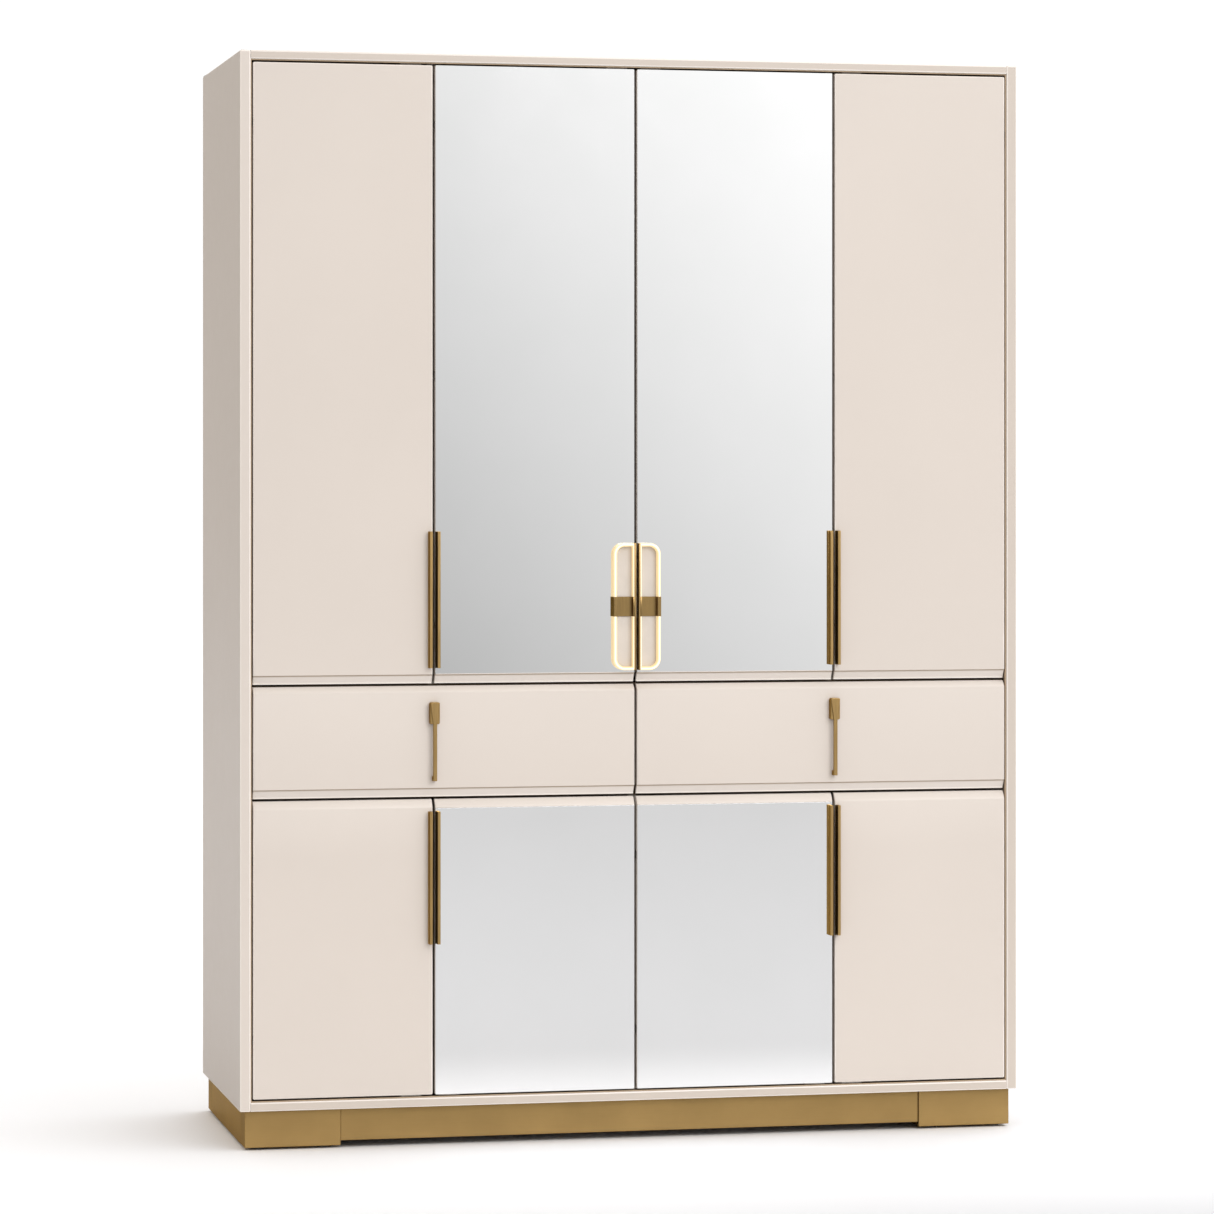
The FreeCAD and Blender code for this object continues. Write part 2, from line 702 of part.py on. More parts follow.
def drawers():
    x0 = -door_outer_x
    x1 = -half_seam
    front = front_board(x0, x1, drawer_z0, drawer_z1, under_bevel_height, crown_height, 0)
    save_pair("drawer_front", front)
    save_pair("drawer_pull", drawer_pull(-outer_seam_offset))

    box_x0 = -inner_x + runner_space
    box_x1 = -half_panel - runner_space
    box_y0 = front_y + front_thickness
    box_y1 = box_y0 + runner_setback + runner_length
    bay_mid = (lower_deck_bottom + upper_deck_top) / 2.0
    z0 = bay_mid - drawer_box_height / 2.0
    z1 = z0 + drawer_box_height
    sheet_z0 = z0 + drawer_bottom_rise
    sheet = block(box_x0 + drawer_board - drawer_groove_depth, box_x1 - drawer_board + drawer_groove_depth,
                  box_y0 + drawer_board - drawer_groove_depth, box_y1 - drawer_board + drawer_groove_depth,
                  sheet_z0, sheet_z0 + drawer_bottom_thickness)
    walls = [
        block(box_x0, box_x0 + drawer_board, box_y0, box_y1, z0, z1),
        block(box_x1 - drawer_board, box_x1, box_y0, box_y1, z0, z1),
        block(box_x0 + drawer_board, box_x1 - drawer_board, box_y0, box_y0 + drawer_board, z0, z1),
        block(box_x0 + drawer_board, box_x1 - drawer_board, box_y1 - drawer_board, box_y1, z0, z1),
    ]
    save_pair("drawer_box", group([w.cut(sheet) for w in walls] + [sheet]))

    left = runner_members(-inner_x, 1.0, bay_mid)
    right = runner_members(-half_panel, -1.0, bay_mid)
    nodes["runner_cabinet_members"] = group(with_mirror([left[0], right[0]]))
    save_pair("runner_middle_members", group([left[1], right[1]]))
    save_pair("runner_drawer_members", group([left[2], right[2]]))


# ---- plinth ----

def plinth():
    x0 = -half_width + plinth_side_inset
    y0 = front_y + plinth_front_inset
    y1 = rear_y
    z0 = glide_height
    feet = []
    glides = []
    for foot_y in (y0, y1 - foot_depth):
        feet.append(block(x0, x0 + foot_width, foot_y, foot_y + foot_depth, z0, body_bottom))
        for x in (x0 + glide_end_distance, x0 + foot_width - glide_end_distance):
            glides.append(rod(glide_radius, glide_height, vec(x, foot_y + foot_depth / 2.0, 0), vec(0, 0, 1)))
    nodes["plinth_feet"] = group(with_mirror(feet))
    nodes["floor_glides"] = group(with_mirror(glides))
    rail_x = x0 + foot_width + rail_end_gap
    rail_y = y0 + rail_recess
    nodes["plinth_front_rail"] = block(rail_x, -rail_x, rail_y, rail_y + plinth_board,
                                       rail_floor_gap, body_bottom)
    side = block(x0, x0 + plinth_board, y0 + foot_depth, y1 - foot_depth, z0, body_bottom)
    rear = block(x0 + foot_width, -x0 - foot_width, y1 - plinth_board, y1, rail_floor_gap, body_bottom)
    nodes["plinth_frame"] = group(with_mirror([side]) + [rear])


carcass()
interior()
doors()
lit_handle()
drawers()
plinth()

os.makedirs("parts", exist_ok=True)
for name, shape in nodes.items():
    shape.exportStep("parts/" + name + ".step")
print(len(nodes), "nodes,", sum(len(s.Solids) for s in nodes.values()), "solids")
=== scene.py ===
import json
import math

import bpy
import numpy as np
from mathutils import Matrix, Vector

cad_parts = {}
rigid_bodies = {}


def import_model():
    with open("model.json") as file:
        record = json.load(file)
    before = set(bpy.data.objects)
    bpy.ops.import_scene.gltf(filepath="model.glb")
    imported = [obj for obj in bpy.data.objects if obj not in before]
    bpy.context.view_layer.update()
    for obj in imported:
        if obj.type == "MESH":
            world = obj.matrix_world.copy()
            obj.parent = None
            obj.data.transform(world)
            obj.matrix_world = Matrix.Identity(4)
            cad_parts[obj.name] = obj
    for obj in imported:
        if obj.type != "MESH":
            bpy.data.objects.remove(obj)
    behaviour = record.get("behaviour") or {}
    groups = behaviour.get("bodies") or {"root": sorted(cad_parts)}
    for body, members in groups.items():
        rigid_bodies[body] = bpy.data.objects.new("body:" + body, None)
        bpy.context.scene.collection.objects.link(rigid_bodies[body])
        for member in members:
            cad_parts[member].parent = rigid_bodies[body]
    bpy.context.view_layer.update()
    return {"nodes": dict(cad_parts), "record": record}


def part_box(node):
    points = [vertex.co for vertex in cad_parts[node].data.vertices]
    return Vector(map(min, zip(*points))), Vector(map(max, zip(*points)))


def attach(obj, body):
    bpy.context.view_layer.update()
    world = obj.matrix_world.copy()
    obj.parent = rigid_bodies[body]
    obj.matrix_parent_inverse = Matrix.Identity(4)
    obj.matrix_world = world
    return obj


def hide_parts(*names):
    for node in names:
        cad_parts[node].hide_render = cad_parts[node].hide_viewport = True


# Four-column armoire with mirror doors, brass pulls, a lit handle and a brass plinth.
# Metres throughout. X to the right, Y to the back, Z up; the fronts face -Y.

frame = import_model()
scene = bpy.context.scene
nodes = frame["nodes"]
mm = 0.001
print("frame loaded:", len(nodes), "nodes")


# places read from the frame
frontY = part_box("mirror_upper_left")[0].y
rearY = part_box("side_panel_left")[1].y
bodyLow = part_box("side_panel_left")[0].z
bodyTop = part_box("side_panel_left")[1].z
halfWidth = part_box("side_panel_right")[1].x
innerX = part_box("side_panel_right")[0].x
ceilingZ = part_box("top_panel")[0].z
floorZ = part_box("bottom_panel")[1].z


def roundCorners(corners, radii, steps=4):
    # Each corner P gives way to an arc of radius r: the arc starts r / tan(half angle) along both sides,
    # its centre lies r / sin(half angle) along the bisector, and its points are blended by sines (slerp).
    # A radius of 0 keeps the corner as it is.
    p = np.array(corners, float)
    r = np.broadcast_to(np.array(radii, float), (len(p),))
    a = np.roll(p, 1, axis=0) - p
    b = np.roll(p, -1, axis=0) - p
    a /= np.linalg.norm(a, axis=1, keepdims=True)
    b /= np.linalg.norm(b, axis=1, keepdims=True)
    half = np.arccos(np.clip((a * b).sum(1), -1, 1)) / 2
    half = np.minimum(half, math.pi / 2 - 1e-6)   # a straight corner would divide by zero
    bisector = (a + b) / np.linalg.norm(a + b + 1e-12, axis=1, keepdims=True)
    centre = p + bisector * (r / np.sin(half))[:, None]
    start = p + a * (r / np.tan(half))[:, None] - centre
    end = p + b * (r / np.tan(half))[:, None] - centre
    turn = (math.pi - 2 * half)[:, None, None]
    w = np.linspace(0, 1, steps + 1)[None, :, None]
    arcs = (np.sin((1 - w) * turn) * start[:, None] + np.sin(w * turn) * end[:, None]) / np.sin(turn)
    arcs += centre[:, None]
    arcs[r == 0] = p[r == 0][:, None]
    keep = np.ones(arcs.shape[:2], bool)
    keep[r == 0, 1:] = False
    return arcs[keep]


def shrink(outline, inset):
    # Every point moves inwards along the sum of its two side normals, divided by 1 + their dot product,
    # so each side moves in by the same amount.
    side = np.roll(outline, -1, axis=0) - outline
    side /= np.linalg.norm(side, axis=1, keepdims=True) + 1e-15
    area = np.cross(outline, np.roll(outline, -1, axis=0)).sum()
    normal = np.stack([-side[:, 1], side[:, 0]], axis=1) * np.sign(area)
    before = np.roll(normal, 1, axis=0)
    return outline + inset * (normal + before) / (1 + (normal * before).sum(1, keepdims=True))


def roundedEnds(start, stop, first, last, steps=4):
    # (place, inset) pairs: near each end the place follows r - r cos t and the inset r - r sin t,
    # a quarter circle, so that the end edges are rounded by first and last.
    t = np.linspace(0, math.pi / 2, steps + 1)
    way = math.copysign(1, stop - start)
    pairs = []
    if first:
        pairs += list(zip(start + way * first * (1 - np.cos(t)), first * (1 - np.sin(t))))
    else:
        pairs.append((start, 0.0))
    if last:
        pairs += list(zip(stop - way * last * (1 - np.cos(t[::-1])), last * (1 - np.sin(t[::-1]))))
    else:
        pairs.append((stop, 0.0))
    return pairs


def carry(outline, places, along):
    # The outline is carried along X, Y or Z; at each place it is shrunk by that place's inset.
    rings = []
    for place, inset in places:
        flat = shrink(outline, inset) if inset else outline
        level = np.full(len(flat), place)
        columns = {"X": (level, flat[:, 0], flat[:, 1]),
                   "Y": (flat[:, 0], level, flat[:, 1]),
                   "Z": (flat[:, 0], flat[:, 1], level)}[along]
        rings.append(np.stack(columns, axis=1))
    return closedRings(np.array(rings))


def closedRings(rings):
    # Quads between neighbouring rings and a flat cap on each end; turned round if the enclosed volume
    # comes out negative, so the faces point outwards.
    n, m, _ = rings.shape
    k = np.arange(n - 1)[:, None] * m
    i = np.arange(m)[None, :]
    j = (i + 1) % m
    quads = np.stack([k + i, k + j, k + m + j, k + m + i], axis=-1).reshape(-1, 4)
    points = rings.reshape(-1, 3)
    caps = [np.arange(m)[::-1], (n - 1) * m + np.arange(m)]
    fans = [np.stack([np.full(m - 2, c[0]), c[1:-1], c[2:]], axis=1) for c in caps]
    tris = np.concatenate([quads[:, [0, 1, 2]], quads[:, [0, 2, 3]]] + fans)
    a, b, c = points[tris[:, 0]], points[tris[:, 1]], points[tris[:, 2]]
    if (a * np.cross(b, c)).sum() < 0:
        quads = quads[:, ::-1]
        caps = [c[::-1] for c in caps]
    return points, quads, caps


def boxSurface(x0, x1, y0, y1, z0, z1, radius):
    # A block with every edge rounded: a round-cornered rectangle carried up Z with rounded ends. Its corners
    # are a tenth rounder in plan, so that shrinking by the radius leaves them open.
    rect = roundCorners([(x0, y0), (x1, y0), (x1, y1), (x0, y1)], radius * 1.1)
    return carry(rect, roundedEnds(z0, z1, radius, radius), "Z")


def mirrorX(shell):
    # The mirror image in the plane X = 0, with its faces turned back outwards.
    points, quads, caps = shell
    return points * np.array([-1, 1, 1]), quads[:, ::-1], [c[::-1] for c in caps]


def sided(shell, side):
    # Every pair is made on the left and mirrored for the right.
    return shell if side == "left" else mirrorX(shell)


def faceWidths(points, quads):
    # Opposite sides of each quad are averaged, and the smaller mean is its width.
    corners = points[quads]
    sides = np.linalg.norm(corners - np.roll(corners, -1, axis=1), axis=2)
    return np.minimum((sides[:, 0] + sides[:, 2]) / 2, (sides[:, 1] + sides[:, 3]) / 2)


shading = {"edgeFace": 1.7 * mm, "edgeTurn": 0.006, "smoothFace": 4.5 * mm, "frontSlack": 0.6 * mm}


def paintedEdgeHighlight(points, quads):
    # 1 on the middle of a rounded edge: every face at the point is narrower than edgeFace, and the mean of
    # the face normals there is shorter than 1 by more than edgeTurn, which a turn of about 12 degrees gives.
    # where this is 1 the lacquer is painted lighter: a painted highlight on the rounded edge
    corners = points[quads]
    width = faceWidths(points, quads)
    normal = np.cross(corners[:, 2] - corners[:, 0], corners[:, 3] - corners[:, 1])
    normal /= np.linalg.norm(normal, axis=1, keepdims=True) + 1e-15
    total = np.zeros(points.shape)
    count = np.full(len(points), 1e-9)
    widest = np.zeros(len(points))
    for corner in range(4):
        np.add.at(total, quads[:, corner], normal)
        np.add.at(count, quads[:, corner], 1)
        np.maximum.at(widest, quads[:, corner], width)
    turn = 1 - np.linalg.norm(total, axis=1) / count
    return ((turn > shading["edgeTurn"]) & (widest < shading["edgeFace"])).astype(float)


def paintFrontShade(points, tone, level):
    # Points in the front plane that have no tone yet take this level: painted shade on the front faces of the
    # frame.
    inPlane = points[:, 1] < frontY + shading["frontSlack"]
    return np.where(inPlane & (tone == 0), level, tone)


def makePiece(name, shells, material, body, replaced=(), attribute=None):
    # Shells joined into one mesh. Narrow faces are shaded smooth; broad ones and the caps stay flat.
    mesh = bpy.data.meshes.new(name)
    joined = np.concatenate([points for points, _, _ in shells])
    faces = []
    smooth = []
    offset = 0
    for points, quads, caps in shells:
        faces += (quads + offset).tolist() + [(cap + offset).tolist() for cap in caps]
        smooth += (faceWidths(points, quads) < shading["smoothFace"]).tolist() + [False] * len(caps)
        offset += len(points)
    mesh.from_pydata(joined.tolist(), [], faces)
    mesh.polygons.foreach_set("use_smooth", smooth)
    if attribute is not None:
        layer = mesh.attributes.new(attribute[0], "FLOAT", "POINT")
        layer.data.foreach_set("value", np.concatenate(attribute[1]).astype(np.float32))
    mesh.validate()
    mesh.update()
    piece = bpy.data.objects.new(name, mesh)
    scene.collection.objects.link(piece)
    mesh.materials.append(material)
    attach(piece, body)
    if replaced:
        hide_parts(*replaced)


def startMaterial(name, color, roughness, metallic=0.0):
    material = bpy.data.materials.new(name)
    material.use_nodes = True
    tree = material.node_tree
    shader = tree.nodes["Principled BSDF"]
    shader.inputs["Base Color"].default_value = (*color, 1)
    shader.inputs["Roughness"].default_value = roughness
    shader.inputs["Metallic"].default_value = metallic
    return material, tree, shader


def soften(shader, level):
    shader.inputs["Specular IOR Level"].default_value = level


def addNode(tree, kind, **values):
    node = tree.nodes.new(kind)
    for key, value in values.items():
        if key in node.inputs:
            node.inputs[key].default_value = value
        else:
            setattr(node, key, value)
    return node


def objectPattern(tree, scale, detail=2.0, rough=0.5, stretch=(1, 1, 1)):
    # Noise on object coordinates; stretch makes it finer along an axis than along the others.
    place = addNode(tree, "ShaderNodeTexCoord")
    mapping = addNode(tree, "ShaderNodeMapping", Scale=stretch)
    noise = addNode(tree, "ShaderNodeTexNoise", Scale=scale, Detail=detail, Roughness=rough)
    tree.links.new(place.outputs["Object"], mapping.inputs["Vector"])
    tree.links.new(mapping.outputs["Vector"], noise.inputs["Vector"])
    return noise.outputs["Fac"]


def mixColors(tree, share, first, second, blend="MIX"):
    # Each part is a socket to link or a plain value. Colours are inputs 6 and 7 and output 2 of this node.
    mix = addNode(tree, "ShaderNodeMix", data_type="RGBA", blend_type=blend)
    for index, part in ((0, share), (6, first), (7, second)):
        if isinstance(part, bpy.types.NodeSocket):
            tree.links.new(part, mix.inputs[index])
        else:
            mix.inputs[index].default_value = part
    return mix.outputs[2]


noiseSpan = (0.3, 0.7)


def remap(tree, source, low, high):
    # Noise lies mostly between 0.3 and 0.7, so that span is stretched to low..high.
    node = addNode(tree, "ShaderNodeMapRange", **{"From Min": noiseSpan[0], "From Max": noiseSpan[1],
                                                  "To Min": low, "To Max": high})
    tree.links.new(source, node.inputs["Value"])
    return node.outputs["Result"]


def tint(tree, source, dark, light):
    # The same span of the noise runs from the dark colour to the light one.
    ramp = addNode(tree, "ShaderNodeValToRGB")
    for element, position, color in zip(ramp.color_ramp.elements, noiseSpan, (dark, light)):
        element.position = position
        element.color = (*color, 1)
    tree.links.new(source, ramp.inputs["Fac"])
    return ramp.outputs["Color"]


def bump(tree, shader, source, height, strength=1.0):
    node = addNode(tree, "ShaderNodeBump", Strength=strength, Distance=height)
    tree.links.new(source, node.inputs["Height"])
    tree.links.new(node.outputs["Normal"], shader.inputs["Normal"])


def shade(color, factor):
    return tuple(c * factor for c in color)


def lacquerMaterial():
    # Satin sprayed lacquer: faint cloudiness and a fine orange peel. The tone attribute of a surface lightens
    # it where positive, a painted highlight on rounded edges and painted light on the bevels, and darkens it
    # where negative, painted shade in the creases, on the frame fronts and low on the side faces.
    # edge is the colour of the painted highlights, crease the colour of the painted shade
    look = {"color": (0.510, 0.457, 0.413), "edge": (0.69, 0.64, 0.595), "crease": (0.30, 0.235, 0.17),
            "roughness": (0.385, 0.41), "specular": 0.32, "cloud": 0.012, "peel": 0.02 * mm}
    material, tree, shader = startMaterial("satinLacquer", look["color"], look["roughness"][1])
    soften(shader, look["specular"])
    cloud = objectPattern(tree, 3.0, detail=3.0)
    reached = tint(tree, cloud, shade(look["color"], 1 - look["cloud"]),
                   shade(look["color"], 1 + look["cloud"]))
    shift = addNode(tree, "ShaderNodeAttribute", attribute_name="tone")
    for end, target in ((1.0, look["edge"]), (-1.0, look["crease"])):
        share = addNode(tree, "ShaderNodeMapRange", **{"From Min": 0.0, "From Max": end})
        tree.links.new(shift.outputs["Fac"], share.inputs["Value"])
        reached = mixColors(tree, share.outputs["Result"], reached, (*target, 1))
    tree.links.new(reached, shader.inputs["Base Color"])
    tree.links.new(remap(tree, objectPattern(tree, 40.0), *look["roughness"]), shader.inputs["Roughness"])
    bump(tree, shader, objectPattern(tree, 900.0, detail=1.0), look["peel"])
    return material


def boardMaterial():
    # Melamine lining with a fine linen press.
    color = (0.62, 0.57, 0.51)
    material, tree, shader = startMaterial("linenBoard", color, 0.55)
    across = objectPattern(tree, 60.0, stretch=(1, 1, 22))
    upright = objectPattern(tree, 60.0, stretch=(22, 22, 1))
    blend = addNode(tree, "ShaderNodeMath", operation="ADD")
    tree.links.new(across, blend.inputs[0])
    tree.links.new(upright, blend.inputs[1])
    halved = addNode(tree, "ShaderNodeMath", operation="MULTIPLY")
    halved.inputs[1].default_value = 0.5
    tree.links.new(blend.outputs[0], halved.inputs[0])
    linen = halved.outputs[0]
    tree.links.new(tint(tree, linen, shade(color, 0.93), shade(color, 1.05)), shader.inputs["Base Color"])
    bump(tree, shader, linen, 0.1 * mm)
    return material


def gapShadeBoardMaterial(edgeY):
    # The same lining with a dull dark brown band painted along its front, in front of the plane Y = edgeY:
    # painted shade that darkens the gaps between the fronts, where these edges show.
    material = boardMaterial()
    material.name = "linenBoardGapShade"
    tree = material.node_tree
    shader = tree.nodes["Principled BSDF"]
    soften(shader, 0.1)
    lining = shader.inputs["Base Color"].links[0].from_socket
    place = addNode(tree, "ShaderNodeTexCoord")
    split = addNode(tree, "ShaderNodeSeparateXYZ")
    front = addNode(tree, "ShaderNodeMath", operation="LESS_THAN")
    front.inputs[1].default_value = edgeY
    grain = objectPattern(tree, 300.0, stretch=(0.05, 1, 1))
    # the painted shade colour of the gaps
    band = tint(tree, grain, (0.030, 0.017, 0.007), (0.046, 0.027, 0.012))
    tree.links.new(place.outputs["Object"], split.inputs[0])
    tree.links.new(split.outputs["Y"], front.inputs[0])
    tree.links.new(mixColors(tree, front.outputs[0], lining, band), shader.inputs["Base Color"])
    return material


def woodMaterial():
    # Oiled birch for the drawer boxes: long grain along X with slower rings behind it.
    material, tree, shader = startMaterial("birchBox", (0.62, 0.46, 0.30), 0.5)
    grain = objectPattern(tree, 90.0, detail=5.0, rough=0.6, stretch=(0.04, 1, 1))
    rings = objectPattern(tree, 14.0, detail=2.0, stretch=(0.08, 1, 1))
    tone = tint(tree, rings, (0.55, 0.40, 0.25), (0.70, 0.54, 0.36))
    fine = tint(tree, grain, (0.86, 0.82, 0.78), (1, 1, 1))
    tree.links.new(mixColors(tree, 1.0, tone, fine, "MULTIPLY"), shader.inputs["Base Color"])
    tree.links.new(remap(tree, grain, 0.42, 0.58), shader.inputs["Roughness"])
    bump(tree, shader, grain, 0.1 * mm)
    return material


def mirrorMaterial():
    # Silvered glass: almost even, with a breath of haze that varies over the pane.
    material, tree, shader = startMaterial("silveredGlass", (0.93, 0.93, 0.93), 0.02, 1.0)
    haze = objectPattern(tree, 5.0, detail=4.0)
    tree.links.new(remap(tree, haze, 0.015, 0.05), shader.inputs["Roughness"])
    tree.links.new(tint(tree, haze, (0.915, 0.918, 0.915), (0.935, 0.935, 0.935)),
                   shader.inputs["Base Color"])
    return material


def brassMaterial(name, look):
    # Brushed brass: hair lines along the long way of the part, in colour, roughness and height; where a part
    # carries a recess attribute it darkens towards a dark brown: painted shade in the edge pulls' channel and
    # on the plinth, patina on the drawer pulls and the lit handle's brass.
    color, roughness, streak = look["color"], look["roughness"], look["streak"]
    material, tree, shader = startMaterial(name, color, roughness, 1.0)
    shader.inputs["Specular Tint"].default_value = (*look["grazing"], 1)
    hair = objectPattern(tree, 1400.0, detail=3.0, rough=0.6, stretch=look["stretch"])
    patches = objectPattern(tree, 12.0, detail=3.0)
    tone = tint(tree, hair, shade(color, 1 - streak), shade(color, 1 + streak * 0.8))
    wear = tint(tree, patches, (1 - look["patch"],) * 3, (1, 1, 1))
    recess = addNode(tree, "ShaderNodeAttribute", attribute_name="recess")
    # the dark brown that the recess attribute mixes in
    patinaAndPaintedShade = (*shade(color, 0.11), 1)
    worn = mixColors(tree, 1.0, tone, wear, "MULTIPLY")
    tree.links.new(mixColors(tree, recess.outputs["Fac"], worn, patinaAndPaintedShade), shader.inputs["Base Color"])
    tree.links.new(remap(tree, hair, roughness - 0.06, roughness + 0.08), shader.inputs["Roughness"])
    bump(tree, shader, hair, 0.03 * mm, 0.6)
    return material


def diffuserMaterial():
    # Opal strip: the glow attribute runs it from amber on its flanks to white on its crest.
    look = {"core": (1.0, 0.95, 0.82), "edge": (1.0, 0.78, 0.44), "light": 1.15, "edgeShare": 0.52}
    material, tree, shader = startMaterial("opalStrip", (0.42, 0.30, 0.12), 0.4)
    glow = addNode(tree, "ShaderNodeAttribute", attribute_name="glow")
    grain = objectPattern(tree, 220.0)
    ramp = addNode(tree, "ShaderNodeValToRGB")
    ramp.color_ramp.elements[0].color = (*look["edge"], 1)
    ramp.color_ramp.elements[1].color = (*look["core"], 1)
    tree.links.new(glow.outputs["Fac"], ramp.inputs["Fac"])
    level = addNode(tree, "ShaderNodeMapRange",
                    **{"To Min": look["light"] * look["edgeShare"], "To Max": look["light"]})
    tree.links.new(glow.outputs["Fac"], level.inputs["Value"])
    flicker = addNode(tree, "ShaderNodeMath", operation="MULTIPLY")
    tree.links.new(level.outputs["Result"], flicker.inputs[0])
    tree.links.new(remap(tree, grain, 0.97, 1.03), flicker.inputs[1])
    tree.links.new(ramp.outputs["Color"], shader.inputs["Emission Color"])
    tree.links.new(flicker.outputs[0], shader.inputs["Emission Strength"])
    return material


def infillMaterial():
    # Cream resin floor of the lit handle, faintly cloudy.
    color = (0.50, 0.46, 0.425)
    material, tree, shader = startMaterial("creamInfill", color, 0.5)
    soften(shader, 0.3)
    cloud = objectPattern(tree, 30.0, detail=3.0)
    tree.links.new(tint(tree, cloud, shade(color, 0.96), shade(color, 1.03)), shader.inputs["Base Color"])
    bump(tree, shader, objectPattern(tree, 1200.0), 0.02 * mm)
    return material


def metalMaterial(name, color, roughness, stretch=(1, 1, 1)):
    # Zinc-plated or drawn steel: blotches in the plating and fine drawing lines.
    material, tree, shader = startMaterial(name, color, roughness, 1.0)
    blotch = objectPattern(tree, 35.0, detail=4.0)
    lines = objectPattern(tree, 700.0, detail=2.0, stretch=stretch)
    tree.links.new(tint(tree, blotch, shade(color, 0.88), shade(color, 1.08)), shader.inputs["Base Color"])
    tree.links.new(remap(tree, lines, roughness - 0.07, roughness + 0.10), shader.inputs["Roughness"])
    bump(tree, shader, lines, 0.03 * mm)
    return material


def plasticMaterial(name, color, roughness):
    # Moulded plastic with a spark-eroded grain.
    material, tree, shader = startMaterial(name, color, roughness)
    grain = objectPattern(tree, 1500.0, detail=2.0)
    tree.links.new(tint(tree, grain, shade(color, 0.85), shade(color, 1.15)), shader.inputs["Base Color"])
    bump(tree, shader, grain, 0.05 * mm)
    return material


lacquer = lacquerMaterial()
board = boardMaterial()
wood = woodMaterial()
silver = mirrorMaterial()
brass = brassMaterial("brushedBrass", {"color": (0.360, 0.236, 0.094), "grazing": (0.80, 0.60, 0.34),
                                       "roughness": 0.33, "stretch": (1, 1, 0.012), "patch": 0.06,
                                       "streak": 0.13})
plinthBrass = brassMaterial("plinthBrass", {"color": (0.385, 0.250, 0.096), "grazing": (0.58, 0.49, 0.36),
                                            "roughness": 0.40, "stretch": (0.012, 1, 1), "patch": 0.12,
                                            "streak": 0.05})
opal = diffuserMaterial()
infill = infillMaterial()
steel = metalMaterial("zincSteel", (0.55, 0.55, 0.53), 0.38)
railMetal = metalMaterial("drawnRail", (0.66, 0.64, 0.60), 0.25, (0.02, 1, 1))
glidePlastic = plasticMaterial("glidePlastic", (0.045, 0.042, 0.04), 0.55)
catchPlastic = plasticMaterial("catchPlastic", (0.75, 0.72, 0.68), 0.5)
sealRubber = plasticMaterial("sealRubber", (0.44, 0.33, 0.22), 0.6)
slotMaterials = {"lacquer": lacquer, "interior_board": board, "drawer_lining": wood, "mirror": silver,
                 "brushed_brass": brass, "plinth_brass": plinthBrass, "light_diffuser": opal,
                 "tray_infill": infill, "hardware_steel": steel, "rail_metal": railMetal,
                 "glide_plastic": glidePlastic, "catch_plastic": catchPlastic}
print("materials made:", len(slotMaterials))


def dressNodes():
    # Every CAD node takes the finish of the slot that the record gives it.
    for entry in frame["record"]["subparts"]:
        mesh = nodes[entry["node"]].data
        mesh.materials.clear()
        mesh.materials.append(slotMaterials[entry["material_slot"]])


dressNodes()
# the fronts of the decks and partitions, seen through the gaps, carry the painted gap shade
gapShadeBoard = gapShadeBoardMaterial(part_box("upper_deck")[0].y + 1 * mm)
for deckName in ("upper_deck", "lower_deck", "upper_partitions", "drawer_partition", "lower_partition"):
    nodes[deckName].data.materials[0] = gapShadeBoard


def buildCarcass():
    # A side panel is its plan outline carried up Z; the top and bottom panels are their side outline carried
    # along X.
    shape = {"outerRound": 2.5 * mm, "innerRound": 3.0 * mm, "rearRound": 1.0 * mm, "topRound": 4.0 * mm,
             "footRound": 2.4 * mm, "boardJoint": 0.5 * mm}
    # painted light levels: frame is painted shade on the front faces of the frame; sideFoot and sideTop are
    # the painted shade at the foot and the painted light at the top of the outer side face
    paintedLightLevels = {"frame": -0.24, "sideFoot": -0.12, "sideTop": 0.22}    # frame is for the front edges
    inner, rear, foot, top = (shape[k] for k in ("innerRound", "rearRound", "footRound", "topRound"))
    corners = [(-halfWidth, frontY), (-innerX, frontY), (-innerX, rearY), (-halfWidth, rearY)]
    outline = roundCorners(corners, [shape["outerRound"], inner, rear, rear], steps=6)
    panel = carry(outline, roundedEnds(bodyLow, bodyTop, foot, top), "Z")
    # the outer corner stays in the plain tone, with no painted highlight, between its rounded ends, and the
    # outer face is painted lighter evenly with height: painted shade at the foot rising to painted light at
    # the top
    x, y, z = panel[0].T
    corner = (x < -halfWidth + 3 * mm) & (y < frontY + 3 * mm)
    upright = (z > bodyLow + 3 * mm) & (z < bodyTop - 5 * mm)
    tone = paintedEdgeHighlight(panel[0], panel[1]) * ~(corner & upright)
    height = (z - bodyLow) / (bodyTop - bodyLow)
    paintedHeightGradient = paintedLightLevels["sideFoot"] + (paintedLightLevels["sideTop"] - paintedLightLevels["sideFoot"]) * height
    tone = np.where(x < -halfWidth + 0.1 * mm, paintedHeightGradient, tone)
    # the front face of the right panel, like the fronts of the top and bottom panels, is painted darker:
    # painted shade
    for side in ("left", "right"):
        sidePaintedShade = paintFrontShade(panel[0], tone, paintedLightLevels["frame"]) if side == "right" else tone
        makePiece("sidePanel_" + side, [sided(panel, side)], lacquer, "cabinet",
                  ["side_panel_" + side], attribute=("tone", [sidePaintedShade]))
    for name, node, z0, z1, low, high in (("topPanel", "top_panel", ceilingZ, bodyTop, inner, top),
                                          ("bottomPanel", "bottom_panel", bodyLow, floorZ, foot, inner)):
        section = roundCorners([(frontY, z0), (rearY, z0), (rearY, z1), (frontY, z1)],
                               [low, rear, rear, high], steps=6)
        ends = roundedEnds(-innerX, innerX, shape["boardJoint"], shape["boardJoint"], steps=2)
        surface = carry(section, ends, "X")
        tone = paintFrontShade(surface[0], paintedEdgeHighlight(surface[0], surface[1]), paintedLightLevels["frame"])
        makePiece(name, [surface], lacquer, "cabinet", [node], attribute=("tone", [tone]))
    buildSeals()
    print("carcass built")


